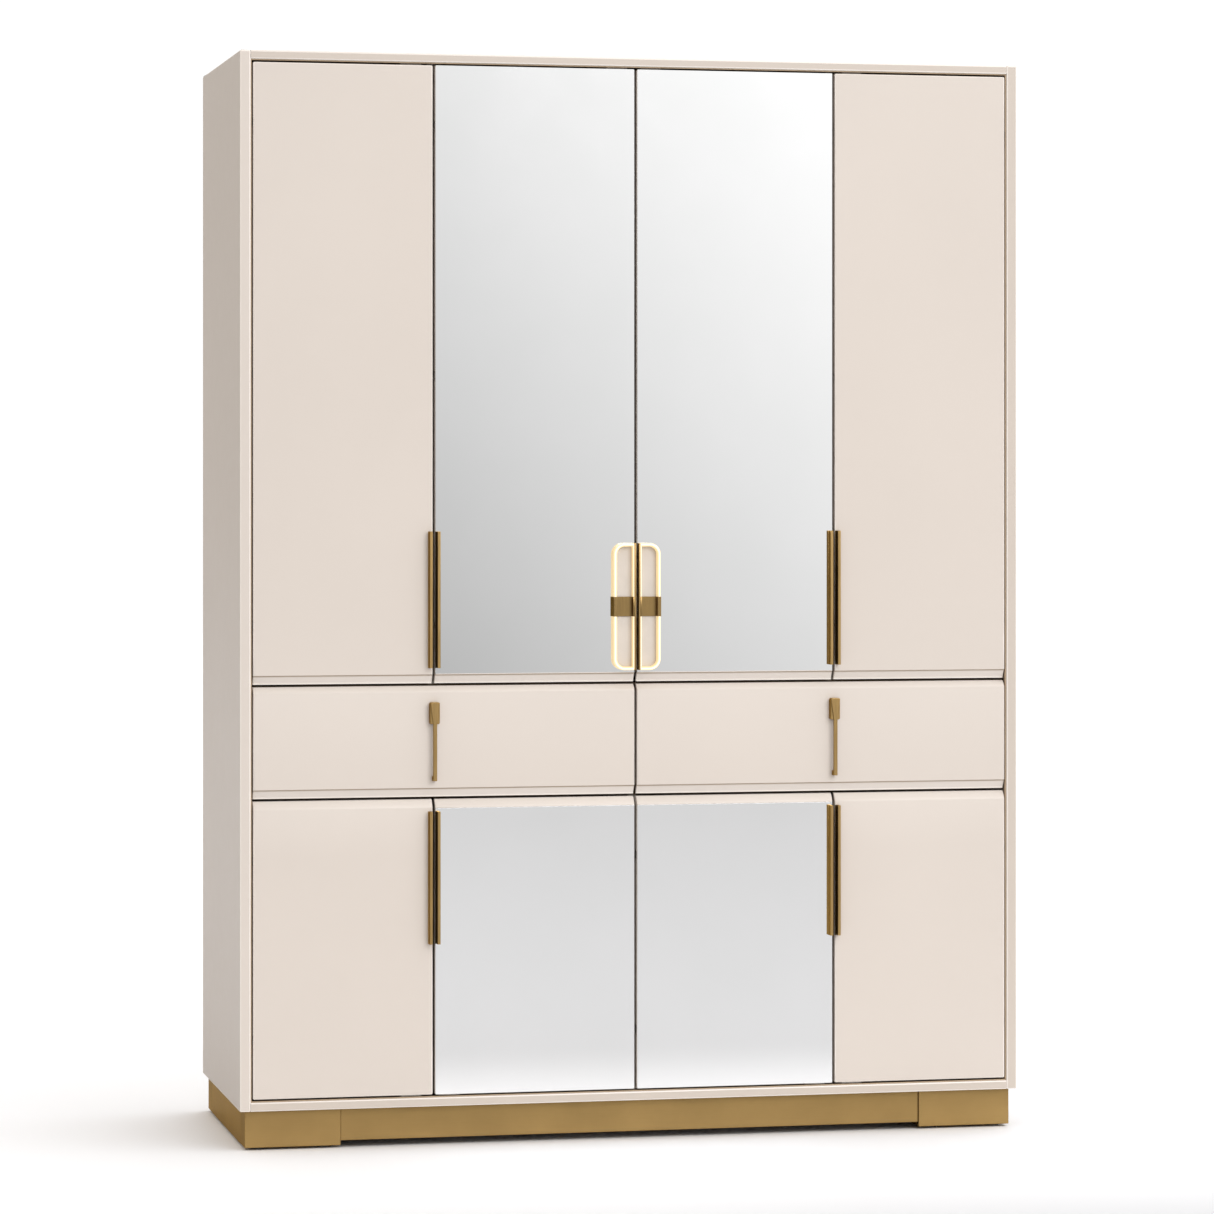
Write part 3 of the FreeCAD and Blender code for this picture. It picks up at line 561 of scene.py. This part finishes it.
def buildSeals():
    # Brown strips round the opening, behind the reveal of the fronts.
    seal = {"width": 2.0 * mm, "depth": 4.5 * mm, "reach": 9.0 * mm, "round": 0.6 * mm}
    y0, y1 = frontY + seal["depth"], frontY + seal["depth"] + seal["reach"]
    upright = boxSurface(-innerX, -innerX + seal["width"], y0, y1, floorZ, ceilingZ, seal["round"])
    for side in ("left", "right"):
        makePiece("doorSeal_" + side, [sided(upright, side)], sealRubber, "cabinet")
    for end, z0 in (("bottom", floorZ), ("top", ceilingZ - seal["width"])):
        strip = boxSurface(-innerX + seal["width"], innerX - seal["width"], y0, y1, z0, z0 + seal["width"],
                           seal["round"])
        makePiece("doorSeal_" + end, [strip], sealRubber, "cabinet")


def hingeLevels(doorName):
    # The hinge axis and the mid height of each pin, from the pins that stand inside the door's outline.
    low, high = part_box(doorName)
    pins = nodes["hinge_pins"].data
    co = np.empty(len(pins.vertices) * 3)
    pins.vertices.foreach_get("co", co)
    co = co.reshape(-1, 3)
    inside = (co[:, 0] > low.x) & (co[:, 0] < high.x) & (co[:, 2] > low.z) & (co[:, 2] < high.z)
    x, z = co[inside, 0], co[inside, 2]
    heights = np.unique(np.round(z, 5))           # bottom and top of each pin in turn
    return (x.min() + x.max()) / 2, (heights[1::2] + heights[0::2]) / 2


frontShape = {"thickness": 20 * mm, "edge": 2.6 * mm, "squared": 0.8 * mm, "bevel": 13 * mm,
              "quirk": 2.2 * mm, "flare": 1.3 * mm, "crownSag": 2.2 * mm, "lip": 1.0 * mm, "arris": 0.3 * mm,
              "flareWidth": 0.12, "under": 0, "crown": 0, "rebate": 0}
# painted light and shade on the fronts: the under bevel painted lighter, its flare a painted highlight, a
# painted shade line under the crease, and the crown painted lighter towards its top
frontPaintedLight = {"under": 0.40, "flare": 0.60, "crease": 1.4, "creaseAt": 0.93, "creaseWidth": 0.10,
             "crown": 0.15, "crownTop": 0.35}
alongBevel = (1 - np.cos(np.linspace(0, math.pi, 15))) / 2    # 0 to 1, closer together at both ends
quarterTurn = np.linspace(0, math.pi / 2, 4)


def levelRows(height, depth, inset=0.0, notch=0.0, tone=0.0):
    # One row per level of a front: its height, face depth, inset, share of the notch and tone, which is
    # painted light where positive and painted shade where negative.
    return np.stack(np.broadcast_arrays(np.atleast_1d(height), depth, inset, notch, tone), axis=1)


def footLevels(z0, shape):
    # Bottom bevel: a straight slope, plus a small quirk that falls back at once under the crease (1 - t^30),
    # less a bell-shaped flare at the lower edge, then a lip above it. A plain end is a quarter circle.
    under, bevel, quirk, arris = (shape[k] for k in ("under", "bevel", "quirk", "arris"))
    if not under:
        curve = shape["edge"] * (1 - np.sin(quarterTurn))
        height = z0 + shape["edge"] * (1 - np.cos(quarterTurn))
        return levelRows(height, np.maximum(curve, shape["rebate"]), curve)
    t = alongBevel
    bell = np.exp(-(t / shape["flareWidth"]) ** 2)
    crease = np.exp(-((t - frontPaintedLight["creaseAt"]) / frontPaintedLight["creaseWidth"]) ** 2)
    depth = (bevel - quirk) * (1 - t) + quirk * (1 - t ** 30) - shape["flare"] * bell
    # painted light on the under bevel, a painted highlight on the flare and painted shade just under the
    # crease
    tone = frontPaintedLight["under"] + frontPaintedLight["flare"] * bell - frontPaintedLight["crease"] * crease
    tone[-1] = 0
    # the lower arris gets a full painted highlight
    rows = [levelRows(z0, bevel - shape["flare"] + arris, arris, tone=1.0),
            levelRows(z0 + under * t + arris * (1 - t), depth, tone=tone)]
    if shape["rebate"]:
        rows.append(levelRows([z0 + under + shape["lip"]] * 2, [0, shape["rebate"]]))
    return np.concatenate(rows)


def headLevels(z1, shape):
    # Top bevel: a slope less a parabola, with a lip below it. A plain end is a quarter circle.
    crown, bevel, arris = shape["crown"], shape["bevel"], shape["arris"]
    if not crown:
        curve = shape["edge"] * (1 - np.sin(quarterTurn[::-1]))
        height = z1 - shape["edge"] * (1 - np.cos(quarterTurn[::-1]))
        return levelRows(height, np.maximum(curve, shape["rebate"]), curve)
    t = alongBevel
    depth = np.maximum(bevel * t - shape["crownSag"] * 4 * t * (1 - t), 0)
    # the crown is painted lighter towards its top, and the top arris gets a full painted highlight
    tone = frontPaintedLight["crown"] + frontPaintedLight["crownTop"] * t ** 2
    rows = [levelRows(z1 - crown + crown * t, depth, tone=tone)]
    rows[0][-1] = z1 - arris, depth[-1], 0, 0, 1
    rows.append(levelRows(z1, bevel + arris, arris, tone=1.0))
    if shape["rebate"]:
        rows.insert(0, levelRows([z1 - crown - shape["lip"]] * 2, [shape["rebate"], 0]))
    return np.concatenate(rows)


def frontSurface(x0, x1, z0, z1, shape, notches=None):
    # The front is a stack of level outlines, each with its face some depth behind the front plane: bevels at
    # the foot and head, a rebate for the mirror between them, and notches in the back edge at the hinges.
    rows = [footLevels(z0, shape), headLevels(z1, shape)]
    if notches:
        for z in notches["levels"]:
            ends = z + np.array([-1, -1, 1, 1]) * notches["height"] / 2
            rows.insert(-1, levelRows(ends, shape["rebate"], notch=[0, 1, 1, 0]))
    z, depth, inset, notch, tone = np.concatenate(rows).T
    # under the mirror the edges are nearly square, to leave the hinge notches open
    covered = (shape["rebate"] > 0) & np.isclose(depth, shape["rebate"])
    r = np.where(covered, shape["squared"], shape["edge"])[:, None]
    a = np.linspace(0, math.pi / 2, 5)
    left, right = x0 + inset, x1 - inset
    face = frontY + depth
    back = frontY + shape["thickness"] - inset
    # level outline: two rounded front corners, then the back corners and the points that open the notch
    faceX = [left[:, None] + r * (1 - np.cos(a)), right[:, None] - r * (1 - np.cos(a[::-1]))]
    faceY = [face[:, None] + r * (1 - np.sin(a)), face[:, None] + r * (1 - np.sin(a[::-1]))]
    if notches is None:
        backX, backY = [right, left], [back, back]
    else:
        edgeX = left if notches["leftEdge"] else right
        openX = edgeX + (notches["far"] - edgeX) * notch
        openY = back + (frontY + notches["depth"] - back) * notch
        backX = [right, openX, openX, left]
        backY = [back, back, openY, openY] if notches["leftEdge"] else [openY, openY, back, back]
    x = np.concatenate([*faceX, np.stack(backX, axis=1)], axis=1)
    y = np.concatenate([*faceY, np.stack(backY, axis=1)], axis=1)
    shell = closedRings(np.stack([x, y, np.broadcast_to(z[:, None], x.shape)], axis=2))
    # where a level has no painted light of its own, its rounded edges get a painted highlight
    tone = np.repeat(tone, x.shape[1])
    return shell, np.where(tone == 0, paintedEdgeHighlight(shell[0], shell[1]), tone)


def buildFronts():
    notch = {"depth": 5.0 * mm, "height": 16 * mm, "beyond": 4.0 * mm}
    bevel = {"under": 18.5 * mm, "doorCrown": 16.5 * mm, "drawerCrown": 12.5 * mm}
    rebate = 4 * mm
    margin = 1.5 * mm                             # by which the fronts narrow the gap at the side panels
    kinds = {"upper_outer": {"under": bevel["under"]},
             "upper_inner": {"under": bevel["under"], "rebate": rebate},
             "lower_outer": {"crown": bevel["doorCrown"]},
             "lower_inner": {"crown": bevel["doorCrown"], "rebate": rebate}}
    for kind, extra in kinds.items():
        low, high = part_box("door_" + kind + "_left")
        axisX, pinLevels = hingeLevels("door_" + kind + "_left")
        leftEdge = axisX < (low.x + high.x) / 2
        far = axisX + notch["beyond"] * (1 if leftEdge else -1)
        notches = {"levels": pinLevels, "height": notch["height"], "depth": notch["depth"],
                   "leftEdge": leftEdge, "far": far}
        x0 = low.x - margin if "outer" in kind else low.x
        surface, tone = frontSurface(x0, high.x, low.z, high.z, {**frontShape, **extra}, notches)
        for side in ("left", "right"):
            makePiece("doorBoard_" + kind + "_" + side, [sided(surface, side)], lacquer,
                      kind + "_door_" + side, ["door_" + kind + "_" + side],
                      attribute=("tone", [tone]))
    low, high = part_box("drawer_front_left")
    drawerShape = {**frontShape, "under": bevel["under"], "crown": bevel["drawerCrown"]}
    surface, tone = frontSurface(low.x - margin, high.x, low.z, high.z, drawerShape)
    for side in ("left", "right"):
        makePiece("drawerFace_" + side, [sided(surface, side)], lacquer, "drawer_" + side,
                  ["drawer_front_" + side], attribute=("tone", [tone]))
    print("fronts built")


def buildMirrors():
    # A pane is its rectangle carried from front to back, with a polished bevel round its face.
    shape = {"bevel": 0.45 * mm, "bevelDepth": 0.7, "corner": 1.4 * mm}    # depth as a share of the bevel
    for row in ("upper", "lower"):
        low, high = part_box("mirror_" + row + "_left")
        rect = roundCorners([(low.x, low.z), (high.x, low.z), (high.x, high.z), (low.x, high.z)],
                            shape["corner"], steps=3)
        places = [(low.y, shape["bevel"]), (low.y + shape["bevel"] * shape["bevelDepth"], 0.0), (high.y, 0.0)]
        pane = carry(rect, places, "Y")
        for side in ("left", "right"):
            makePiece("mirrorPane_" + row + "_" + side, [sided(pane, side)], silver,
                      row + "_inner_door_" + side, ["mirror_" + row + "_" + side])
    print("mirrors built")


def buildEdgePulls():
    # Blade and flange as one L section, carried up Z, with softened corners.
    shape = {"blade": 6 * mm, "flange": 1 * mm, "fromSeam": 2.5 * mm, "soft": 0.7 * mm,
             "flangeSoft": 0.35 * mm, "arris": 0.3 * mm}
    # where the painted shade in the channel starts and how far back it deepens
    patinaAndPaintedShade = {"start": 0.5 * mm, "reach": 6 * mm}
    soft, flangeSoft, arris = shape["soft"], shape["flangeSoft"], shape["arris"]
    for kind in ("upper_outer", "upper_inner", "lower_outer", "lower_inner"):
        low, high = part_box("pull_" + kind + "_left")
        # near and far faces of the blade, counted from the seam
        way = -1 if kind.endswith("outer") else 1
        near = (high.x if way < 0 else low.x) + way * shape["fromSeam"]
        bladeLow, bladeHigh = sorted((near, near + way * shape["blade"]))
        step = high.y - shape["flange"]
        corners = [(low.x, high.y), (high.x, high.y), (high.x, step), (bladeHigh, step),
                   (bladeHigh, low.y), (bladeLow, low.y), (bladeLow, step), (low.x, step)]
        outline = roundCorners(corners, [0, 0, flangeSoft, flangeSoft, soft, soft, flangeSoft, flangeSoft],
                               steps=3)
        section = carry(outline, roundedEnds(low.z, high.z, arris, arris, steps=2), "Z")
        # painted shade deepens on the faces between the blade and the seam, darker further back
        x, y = section[0][:, 0], section[0][:, 1]
        recess = ((x - near) * way < arris) * np.clip((y - low.y - patinaAndPaintedShade["start"]) / patinaAndPaintedShade["reach"], 0, 1)
        for side in ("left", "right"):
            makePiece("edgePull_" + kind + "_" + side, [sided(section, side)], brass,
                      kind + "_door_" + side, ["pull_" + kind + "_" + side],
                      attribute=("recess", [recess]))
    print("edge pulls built")


def buildDrawerPulls():
    # Block on the drawer, bar in front of it that narrows from the block's width, and a foot below. Block and
    # bar are their front outlines carried back along Y.
    low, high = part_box("drawer_pull_left")
    shape = {"knobReach": 12 * mm, "knobProud": 1.5 * mm, "knobHeight": 44 * mm, "knobCorner": 3.2 * mm,
             "knobSoft": 1.4 * mm, "barWidth": 8 * mm, "barCorner": 2.6 * mm, "waist": 12 * mm,
             "tip": 1.3 * mm, "barSoft": 1.0 * mm, "barJoint": 0.2 * mm, "arris": 0.3 * mm,
             "foot": 10 * mm, "footOverlap": 1 * mm, "footSoft": 0.8 * mm}
    patinaAndPaintedShade = {"knob": 0.06, "bar": 0.10}
    midX = (low.x + high.x) / 2
    shoulder = high.z - shape["knobHeight"]
    blockY = high.y - shape["knobReach"]
    barX0, barX1 = midX - shape["barWidth"] / 2, midX + shape["barWidth"] / 2
    knobFace = roundCorners([(low.x, shoulder), (high.x, shoulder), (high.x, high.z), (low.x, high.z)],
                            shape["knobCorner"], steps=6)
    knob = carry(knobFace, roundedEnds(blockY - shape["knobProud"], high.y, shape["knobSoft"], 0), "Y")
    corners = [(low.x, high.z), (barX0, shoulder), (barX0, low.z), (barX1, low.z), (barX1, shoulder),
               (high.x, high.z)]
    radii = [shape[k] for k in ("barCorner", "waist", "tip", "tip", "waist", "barCorner")]
    barEnds = roundedEnds(low.y, blockY + shape["barJoint"], shape["barSoft"], shape["arris"])
    bar = carry(roundCorners(corners, radii, steps=5), barEnds, "Y")
    foot = boxSurface(barX0, barX1, blockY - shape["footOverlap"], high.y, low.z, low.z + shape["foot"],
                      shape["footSoft"])
    recess = [np.full(len(knob[0]), patinaAndPaintedShade["knob"]), np.full(len(bar[0]), patinaAndPaintedShade["bar"]),
              np.full(len(foot[0]), patinaAndPaintedShade["bar"])]
    for side in ("left", "right"):
        makePiece("drawerPull_" + side, [sided(s, side) for s in (knob, bar, foot)], brass,
                  "drawer_" + side, ["drawer_pull_" + side], attribute=("recess", recess))
    print("drawer pulls built")


def buildLitHandle():
    shape = {"blade": 3.6 * mm, "seamRim": 3.2 * mm, "rim": 7 * mm, "corner": 23 * mm, "bulge": 3.0 * mm,
             "bandHeight": 40 * mm, "bandProud": 0.5 * mm, "bandClear": 0.1 * mm, "bandFloor": 3 * mm,
             "bandJoint": 0.3 * mm, "trayThick": 2 * mm, "trayRound": 0.3 * mm, "bladeRound": 0.7 * mm,
             "bandRound": 0.4 * mm}
    look = {"glowCentre": 0.42, "glowWidth": 0.30, "bladePatina": 0.12, "bandPatina": 0.38}
    lightLow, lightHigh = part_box("handle_light_left")
    brassLow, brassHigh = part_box("handle_brass_left")
    trayLow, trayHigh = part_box("handle_tray_left")
    seamX, bladeX = brassHigh.x, brassHigh.x - shape["blade"]
    outerX = lightLow.x
    z0, z1 = lightLow.z, lightHigh.z
    midZ = (z0 + z1) / 2
    bandHalf = shape["bandHeight"] / 2
    rim, corner = shape["rim"], shape["corner"]
    inner = corner - rim
    floorX = bladeX - shape["seamRim"]
    backY, faceY = lightHigh.y, lightLow.y

    # Outer and inner edges of the loop from the band, up the outer leg, round the corner, along the top and
    # down the seam leg. The section between them is carried along, its face bowed forwards by 1 - |2s - 1|^3.
    a = np.linspace(0, math.pi / 2, 15)
    start = midZ + bandHalf + shape["bandClear"]
    outerEdge = np.concatenate([
        [(outerX, start)],
        np.stack([outerX + corner * (1 - np.cos(a)), z1 - corner * (1 - np.sin(a))], axis=1),
        [(bladeX, z1), (bladeX, start)]])
    innerEdge = np.concatenate([
        [(outerX + rim, start)],
        np.stack([outerX + rim + inner * (1 - np.cos(a)), z1 - rim - inner * (1 - np.sin(a))], axis=1),
        [(floorX, z1 - rim), (floorX, start)]])
    across = np.linspace(0, 1, 15)
    bow = np.clip(1 - np.abs(2 * across - 1) ** 3, 0, 1)
    share = np.concatenate([across, [1, 0]])
    sectionY = np.concatenate([faceY + shape["bulge"] * (1 - bow), [backY, backY]])
    x = outerEdge[:, None, 0] * (1 - share) + innerEdge[:, None, 0] * share
    z = outerEdge[:, None, 1] * (1 - share) + innerEdge[:, None, 1] * share
    upper = closedRings(np.stack([x, np.broadcast_to(sectionY, x.shape), z], axis=2))
    points, quads, caps = upper
    flipped = points * np.array([1, 1, -1]) + np.array([0, 0, 2 * midZ])
    lower = (flipped, quads[:, ::-1], [c[::-1] for c in caps])
    crest = np.exp(-((across - look["glowCentre"]) / look["glowWidth"]) ** 2)
    glow = np.tile(np.concatenate([crest, [0, 0]]), len(outerEdge))

    # Cream floor inside the loop.
    tray = roundCorners([(floorX, trayLow.z), (floorX, trayHigh.z), (trayLow.x, trayHigh.z),
                         (trayLow.x, trayLow.z)], [0, 0, inner, inner], steps=10)
    trayShell = carry(tray, roundedEnds(trayLow.y, trayHigh.y, shape["trayRound"], 0, steps=2), "Y")

    # Brass: blade at the seam, and a U-shaped band that covers the loop at mid height.
    blade = boxSurface(bladeX, seamX, brassLow.y, backY, z0, z1, shape["bladeRound"])
    bandX0, bandX1 = outerX - shape["bandProud"], bladeX + shape["bandJoint"]
    bandY = faceY - shape["bandProud"]
    webY = backY - shape["trayThick"] - shape["bandFloor"]
    section = roundCorners([(bandX0, backY), (bandX1, backY), (bandX1, bandY), (floorX, bandY),
                            (floorX, webY), (outerX + rim, webY), (outerX + rim, bandY), (bandX0, bandY)],
                           [r * mm for r in (0, 0, 0.4, 0.5, 0.6, 0.6, 0.5, 0.6)], steps=4)
    bandEnds = roundedEnds(midZ - bandHalf, midZ + bandHalf, shape["bandRound"], shape["bandRound"], steps=2)
    band = carry(section, bandEnds, "Z")
    # the band has toned down a little more than the blade
    recess = [np.full(len(blade[0]), look["bladePatina"]), np.full(len(band[0]), look["bandPatina"])]
    for side in ("left", "right"):
        body = "upper_inner_door_" + side
        makePiece("litLoop_" + side, [sided(upper, side), sided(lower, side)], opal, body,
                  ["handle_light_" + side], attribute=("glow", [glow, glow]))
        makePiece("litFloor_" + side, [sided(trayShell, side)], infill, body,
                  ["handle_tray_" + side])
        makePiece("litBrass_" + side, [sided(blade, side), sided(band, side)], brass, body,
                  ["handle_brass_" + side], attribute=("recess", recess))
    print("lit handle built")


def buildPlinth():
    shape = {"footRound": 1.2 * mm, "railRound": 1.0 * mm, "width": 195 * mm, "depth": 60 * mm,
             "railReach": 2.8 * mm}               # the rail's ends close most of the gap to the feet
    # shares of painted shadow under the body
    patinaAndPaintedShade = {"footTop": 0.26, "railFoot": 0.10, "railRise": 0.16}
    low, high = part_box("plinth_feet")
    feet = [boxSurface(low.x, low.x + shape["width"], y0, y0 + shape["depth"], low.z, high.z,
                       shape["footRound"]) for y0 in (low.y, high.y - shape["depth"])]
    # painted shadow: the brass is painted darker towards the body above it, with the square of the height on
    # the feet; on the rail evenly darker, and more with height
    heights = [np.clip((foot[0][:, 2] - low.z) / (high.z - low.z), 0, 1) for foot in feet]
    recess = [patinaAndPaintedShade["footTop"] * h ** 2 for h in heights]
    makePiece("plinthFeet", feet + [mirrorX(foot) for foot in feet], plinthBrass, "cabinet",
              ["plinth_feet"], attribute=("recess", recess + recess))
    low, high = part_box("plinth_front_rail")
    reach = shape["railReach"]
    rail = boxSurface(low.x - reach, high.x + reach, low.y, high.y, low.z, high.z, shape["railRound"])
    # the recessed rail is painted darker throughout, and more towards the body: painted shade
    height = np.clip((rail[0][:, 2] - low.z) / (high.z - low.z), 0, 1)
    recess = patinaAndPaintedShade["railFoot"] + patinaAndPaintedShade["railRise"] * height
    makePiece("plinthRail", [rail], plinthBrass, "cabinet", ["plinth_front_rail"],
              attribute=("recess", [recess]))
    print("plinth built")


buildCarcass()
buildFronts()
buildMirrors()
buildEdgePulls()
buildDrawerPulls()
buildLitHandle()
buildPlinth()


def buildStage():
    # The floor is white round the armoire and greys towards the front, where the mirrors look: the grey is
    # painted shade, the floor painted dimmer away from the armoire.
    stageSize = {"halfWidth": 14.0, "front": -16.0, "back": 30.0}
    mesh = bpy.data.meshes.new("floor")
    reach, front, back = stageSize["halfWidth"], stageSize["front"], stageSize["back"]
    corners = [(-reach, front, 0), (reach, front, 0), (reach, back, 0), (-reach, back, 0)]
    mesh.from_pydata(corners, [], [(0, 1, 2, 3)])
    floor = bpy.data.objects.new("floor", mesh)
    scene.collection.objects.link(floor)
    material, tree, shader = startMaterial("paleFloor", (0.93, 0.93, 0.925), 0.75)
    place = addNode(tree, "ShaderNodeTexCoord")
    split = addNode(tree, "ShaderNodeSeparateXYZ")
    far = addNode(tree, "ShaderNodeMapRange",
                  **{"From Min": -9.0, "From Max": -1.5, "To Min": 0.57, "To Max": 0.66})
    near = addNode(tree, "ShaderNodeMapRange", interpolation_type="SMOOTHSTEP",
                   **{"From Min": -1.8, "From Max": -0.7, "To Min": 0.0, "To Max": 0.33})
    both = addNode(tree, "ShaderNodeMath", operation="ADD")
    tree.links.new(place.outputs["Object"], split.inputs[0])
    tree.links.new(split.outputs["Y"], far.inputs["Value"])
    tree.links.new(split.outputs["Y"], near.inputs["Value"])
    tree.links.new(far.outputs["Result"], both.inputs[0])
    tree.links.new(near.outputs["Result"], both.inputs[1])
    cool = mixColors(tree, 1.0, both.outputs[0], (0.99, 1.01, 1.05, 1), "MULTIPLY")
    tree.links.new(cool, shader.inputs["Base Color"])
    mesh.materials.append(material)
    floor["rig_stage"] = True


def buildWorld():
    # Soft studio surround: white behind the armoire; in front, it brightens with height and to the right
    # and turns warmer to the left.
    # axis, its start and end, and the values there
    spans = {"rise": ("Z", -0.06, 0.16, 0.54, 1.10, "LINEAR"), "lean": ("X", 0.08, 0.34, -0.21, 0.30),
             "behind": ("Y", -0.35, 0.10, 0.0, 1.0), "sky": ("Z", 0.25, 0.9, 0.0, 0.55),
             "warm": ("X", -0.32, 0.05, 0.0, 1.0)}
    look = {"behind": 1.06, "warm": (0.605, 0.55, 0.485, 1), "plain": (1, 1, 1, 1)}
    world = bpy.data.worlds.new("studio")
    scene.world = world
    world.use_nodes = True
    tree = world.node_tree
    place = addNode(tree, "ShaderNodeTexCoord")
    split = addNode(tree, "ShaderNodeSeparateXYZ")
    tree.links.new(place.outputs["Generated"], split.inputs[0])

    def span(axis, start, end, first, last, kind="SMOOTHSTEP"):
        node = addNode(tree, "ShaderNodeMapRange", interpolation_type=kind,
                       **{"From Min": start, "From Max": end, "To Min": first, "To Max": last})
        tree.links.new(split.outputs[axis], node.inputs["Value"])
        return node.outputs["Result"]

    def join(operation, first, second):
        node = addNode(tree, "ShaderNodeMath", operation=operation)
        tree.links.new(first, node.inputs[0])
        tree.links.new(second, node.inputs[1])
        return node.outputs[0]

    front = join("ADD", span(*spans["rise"]), span(*spans["lean"]))
    level = addNode(tree, "ShaderNodeMix", data_type="FLOAT")    # its floats are inputs 2 and 3
    level.inputs[3].default_value = look["behind"]
    tree.links.new(span(*spans["behind"]), level.inputs[0])
    tree.links.new(front, level.inputs[2])
    lifted = join("ADD", level.outputs[0], span(*spans["sky"]))
    warmth = mixColors(tree, span(*spans["warm"]), look["warm"], look["plain"])
    background = tree.nodes["Background"]
    tree.links.new(mixColors(tree, 1.0, lifted, warmth, "MULTIPLY"), background.inputs["Color"])
    background.inputs["Strength"].default_value = 1.0


lightLooks = {"keySoftbox": {"place": (2.8, -9.0, 5.2), "target": (0, 0, 1.1), "size": (6.0, 4.0),
                             "power": 520, "glossy": True},
              "lowFill": {"place": (0.4, -5.0, 0.05), "target": (0, 0, 1.3), "size": (5.0, 1.0),
                          "power": 75, "glossy": False}}


def addLight(name, look, receivers):
    # An area light turned to its target; it falls on the receivers only.
    data = bpy.data.lights.new(name, "AREA")
    data.shape = "RECTANGLE"
    data.size, data.size_y = look["size"]
    data.energy = look["power"]
    light = bpy.data.objects.new(name, data)
    scene.collection.objects.link(light)
    light.location = look["place"]
    way = np.array(look["target"], float) - np.array(look["place"], float)
    yaw = math.atan2(way[1], way[0]) - math.pi / 2
    pitch = math.atan2(way[2], math.hypot(way[0], way[1])) + math.pi / 2
    light.rotation_euler = (pitch, 0, yaw)
    light.light_linking.receiver_collection = receivers
    light.visible_glossy = look["glossy"]


def furnitureOnly():
    # The area lights fall on the armoire and leave the floor to the surround.
    group = bpy.data.collections.new("furniture")
    for piece in scene.objects:
        if piece.type == "MESH" and not piece.get("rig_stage"):
            group.objects.link(piece)
    return group


def buildCamera():
    # a level camera, its view moved down by the lens shift; the turn is in degrees
    view = {"distance": 8.8005, "aside": -1.9813, "height": 1.3394, "turn": -12.314, "lens": 130.94,
            "shift": -0.10147}
    data = bpy.data.cameras.new("camera")
    data.sensor_width = 36
    data.lens = view["lens"]
    data.shift_y = view["shift"]
    data.clip_end = 100
    camera = bpy.data.objects.new("camera", data)
    scene.collection.objects.link(camera)
    camera.location = (view["aside"], frontY - view["distance"], view["height"])
    camera.rotation_euler = (math.pi / 2, 0, math.radians(view["turn"]))
    scene.camera = camera


buildStage()
buildWorld()
furniture = furnitureOnly()
for lightName, lightLook in lightLooks.items():
    addLight(lightName, lightLook, furniture)
buildCamera()
scene.view_settings.view_transform = "Standard"
print("stage, lights and camera ready")
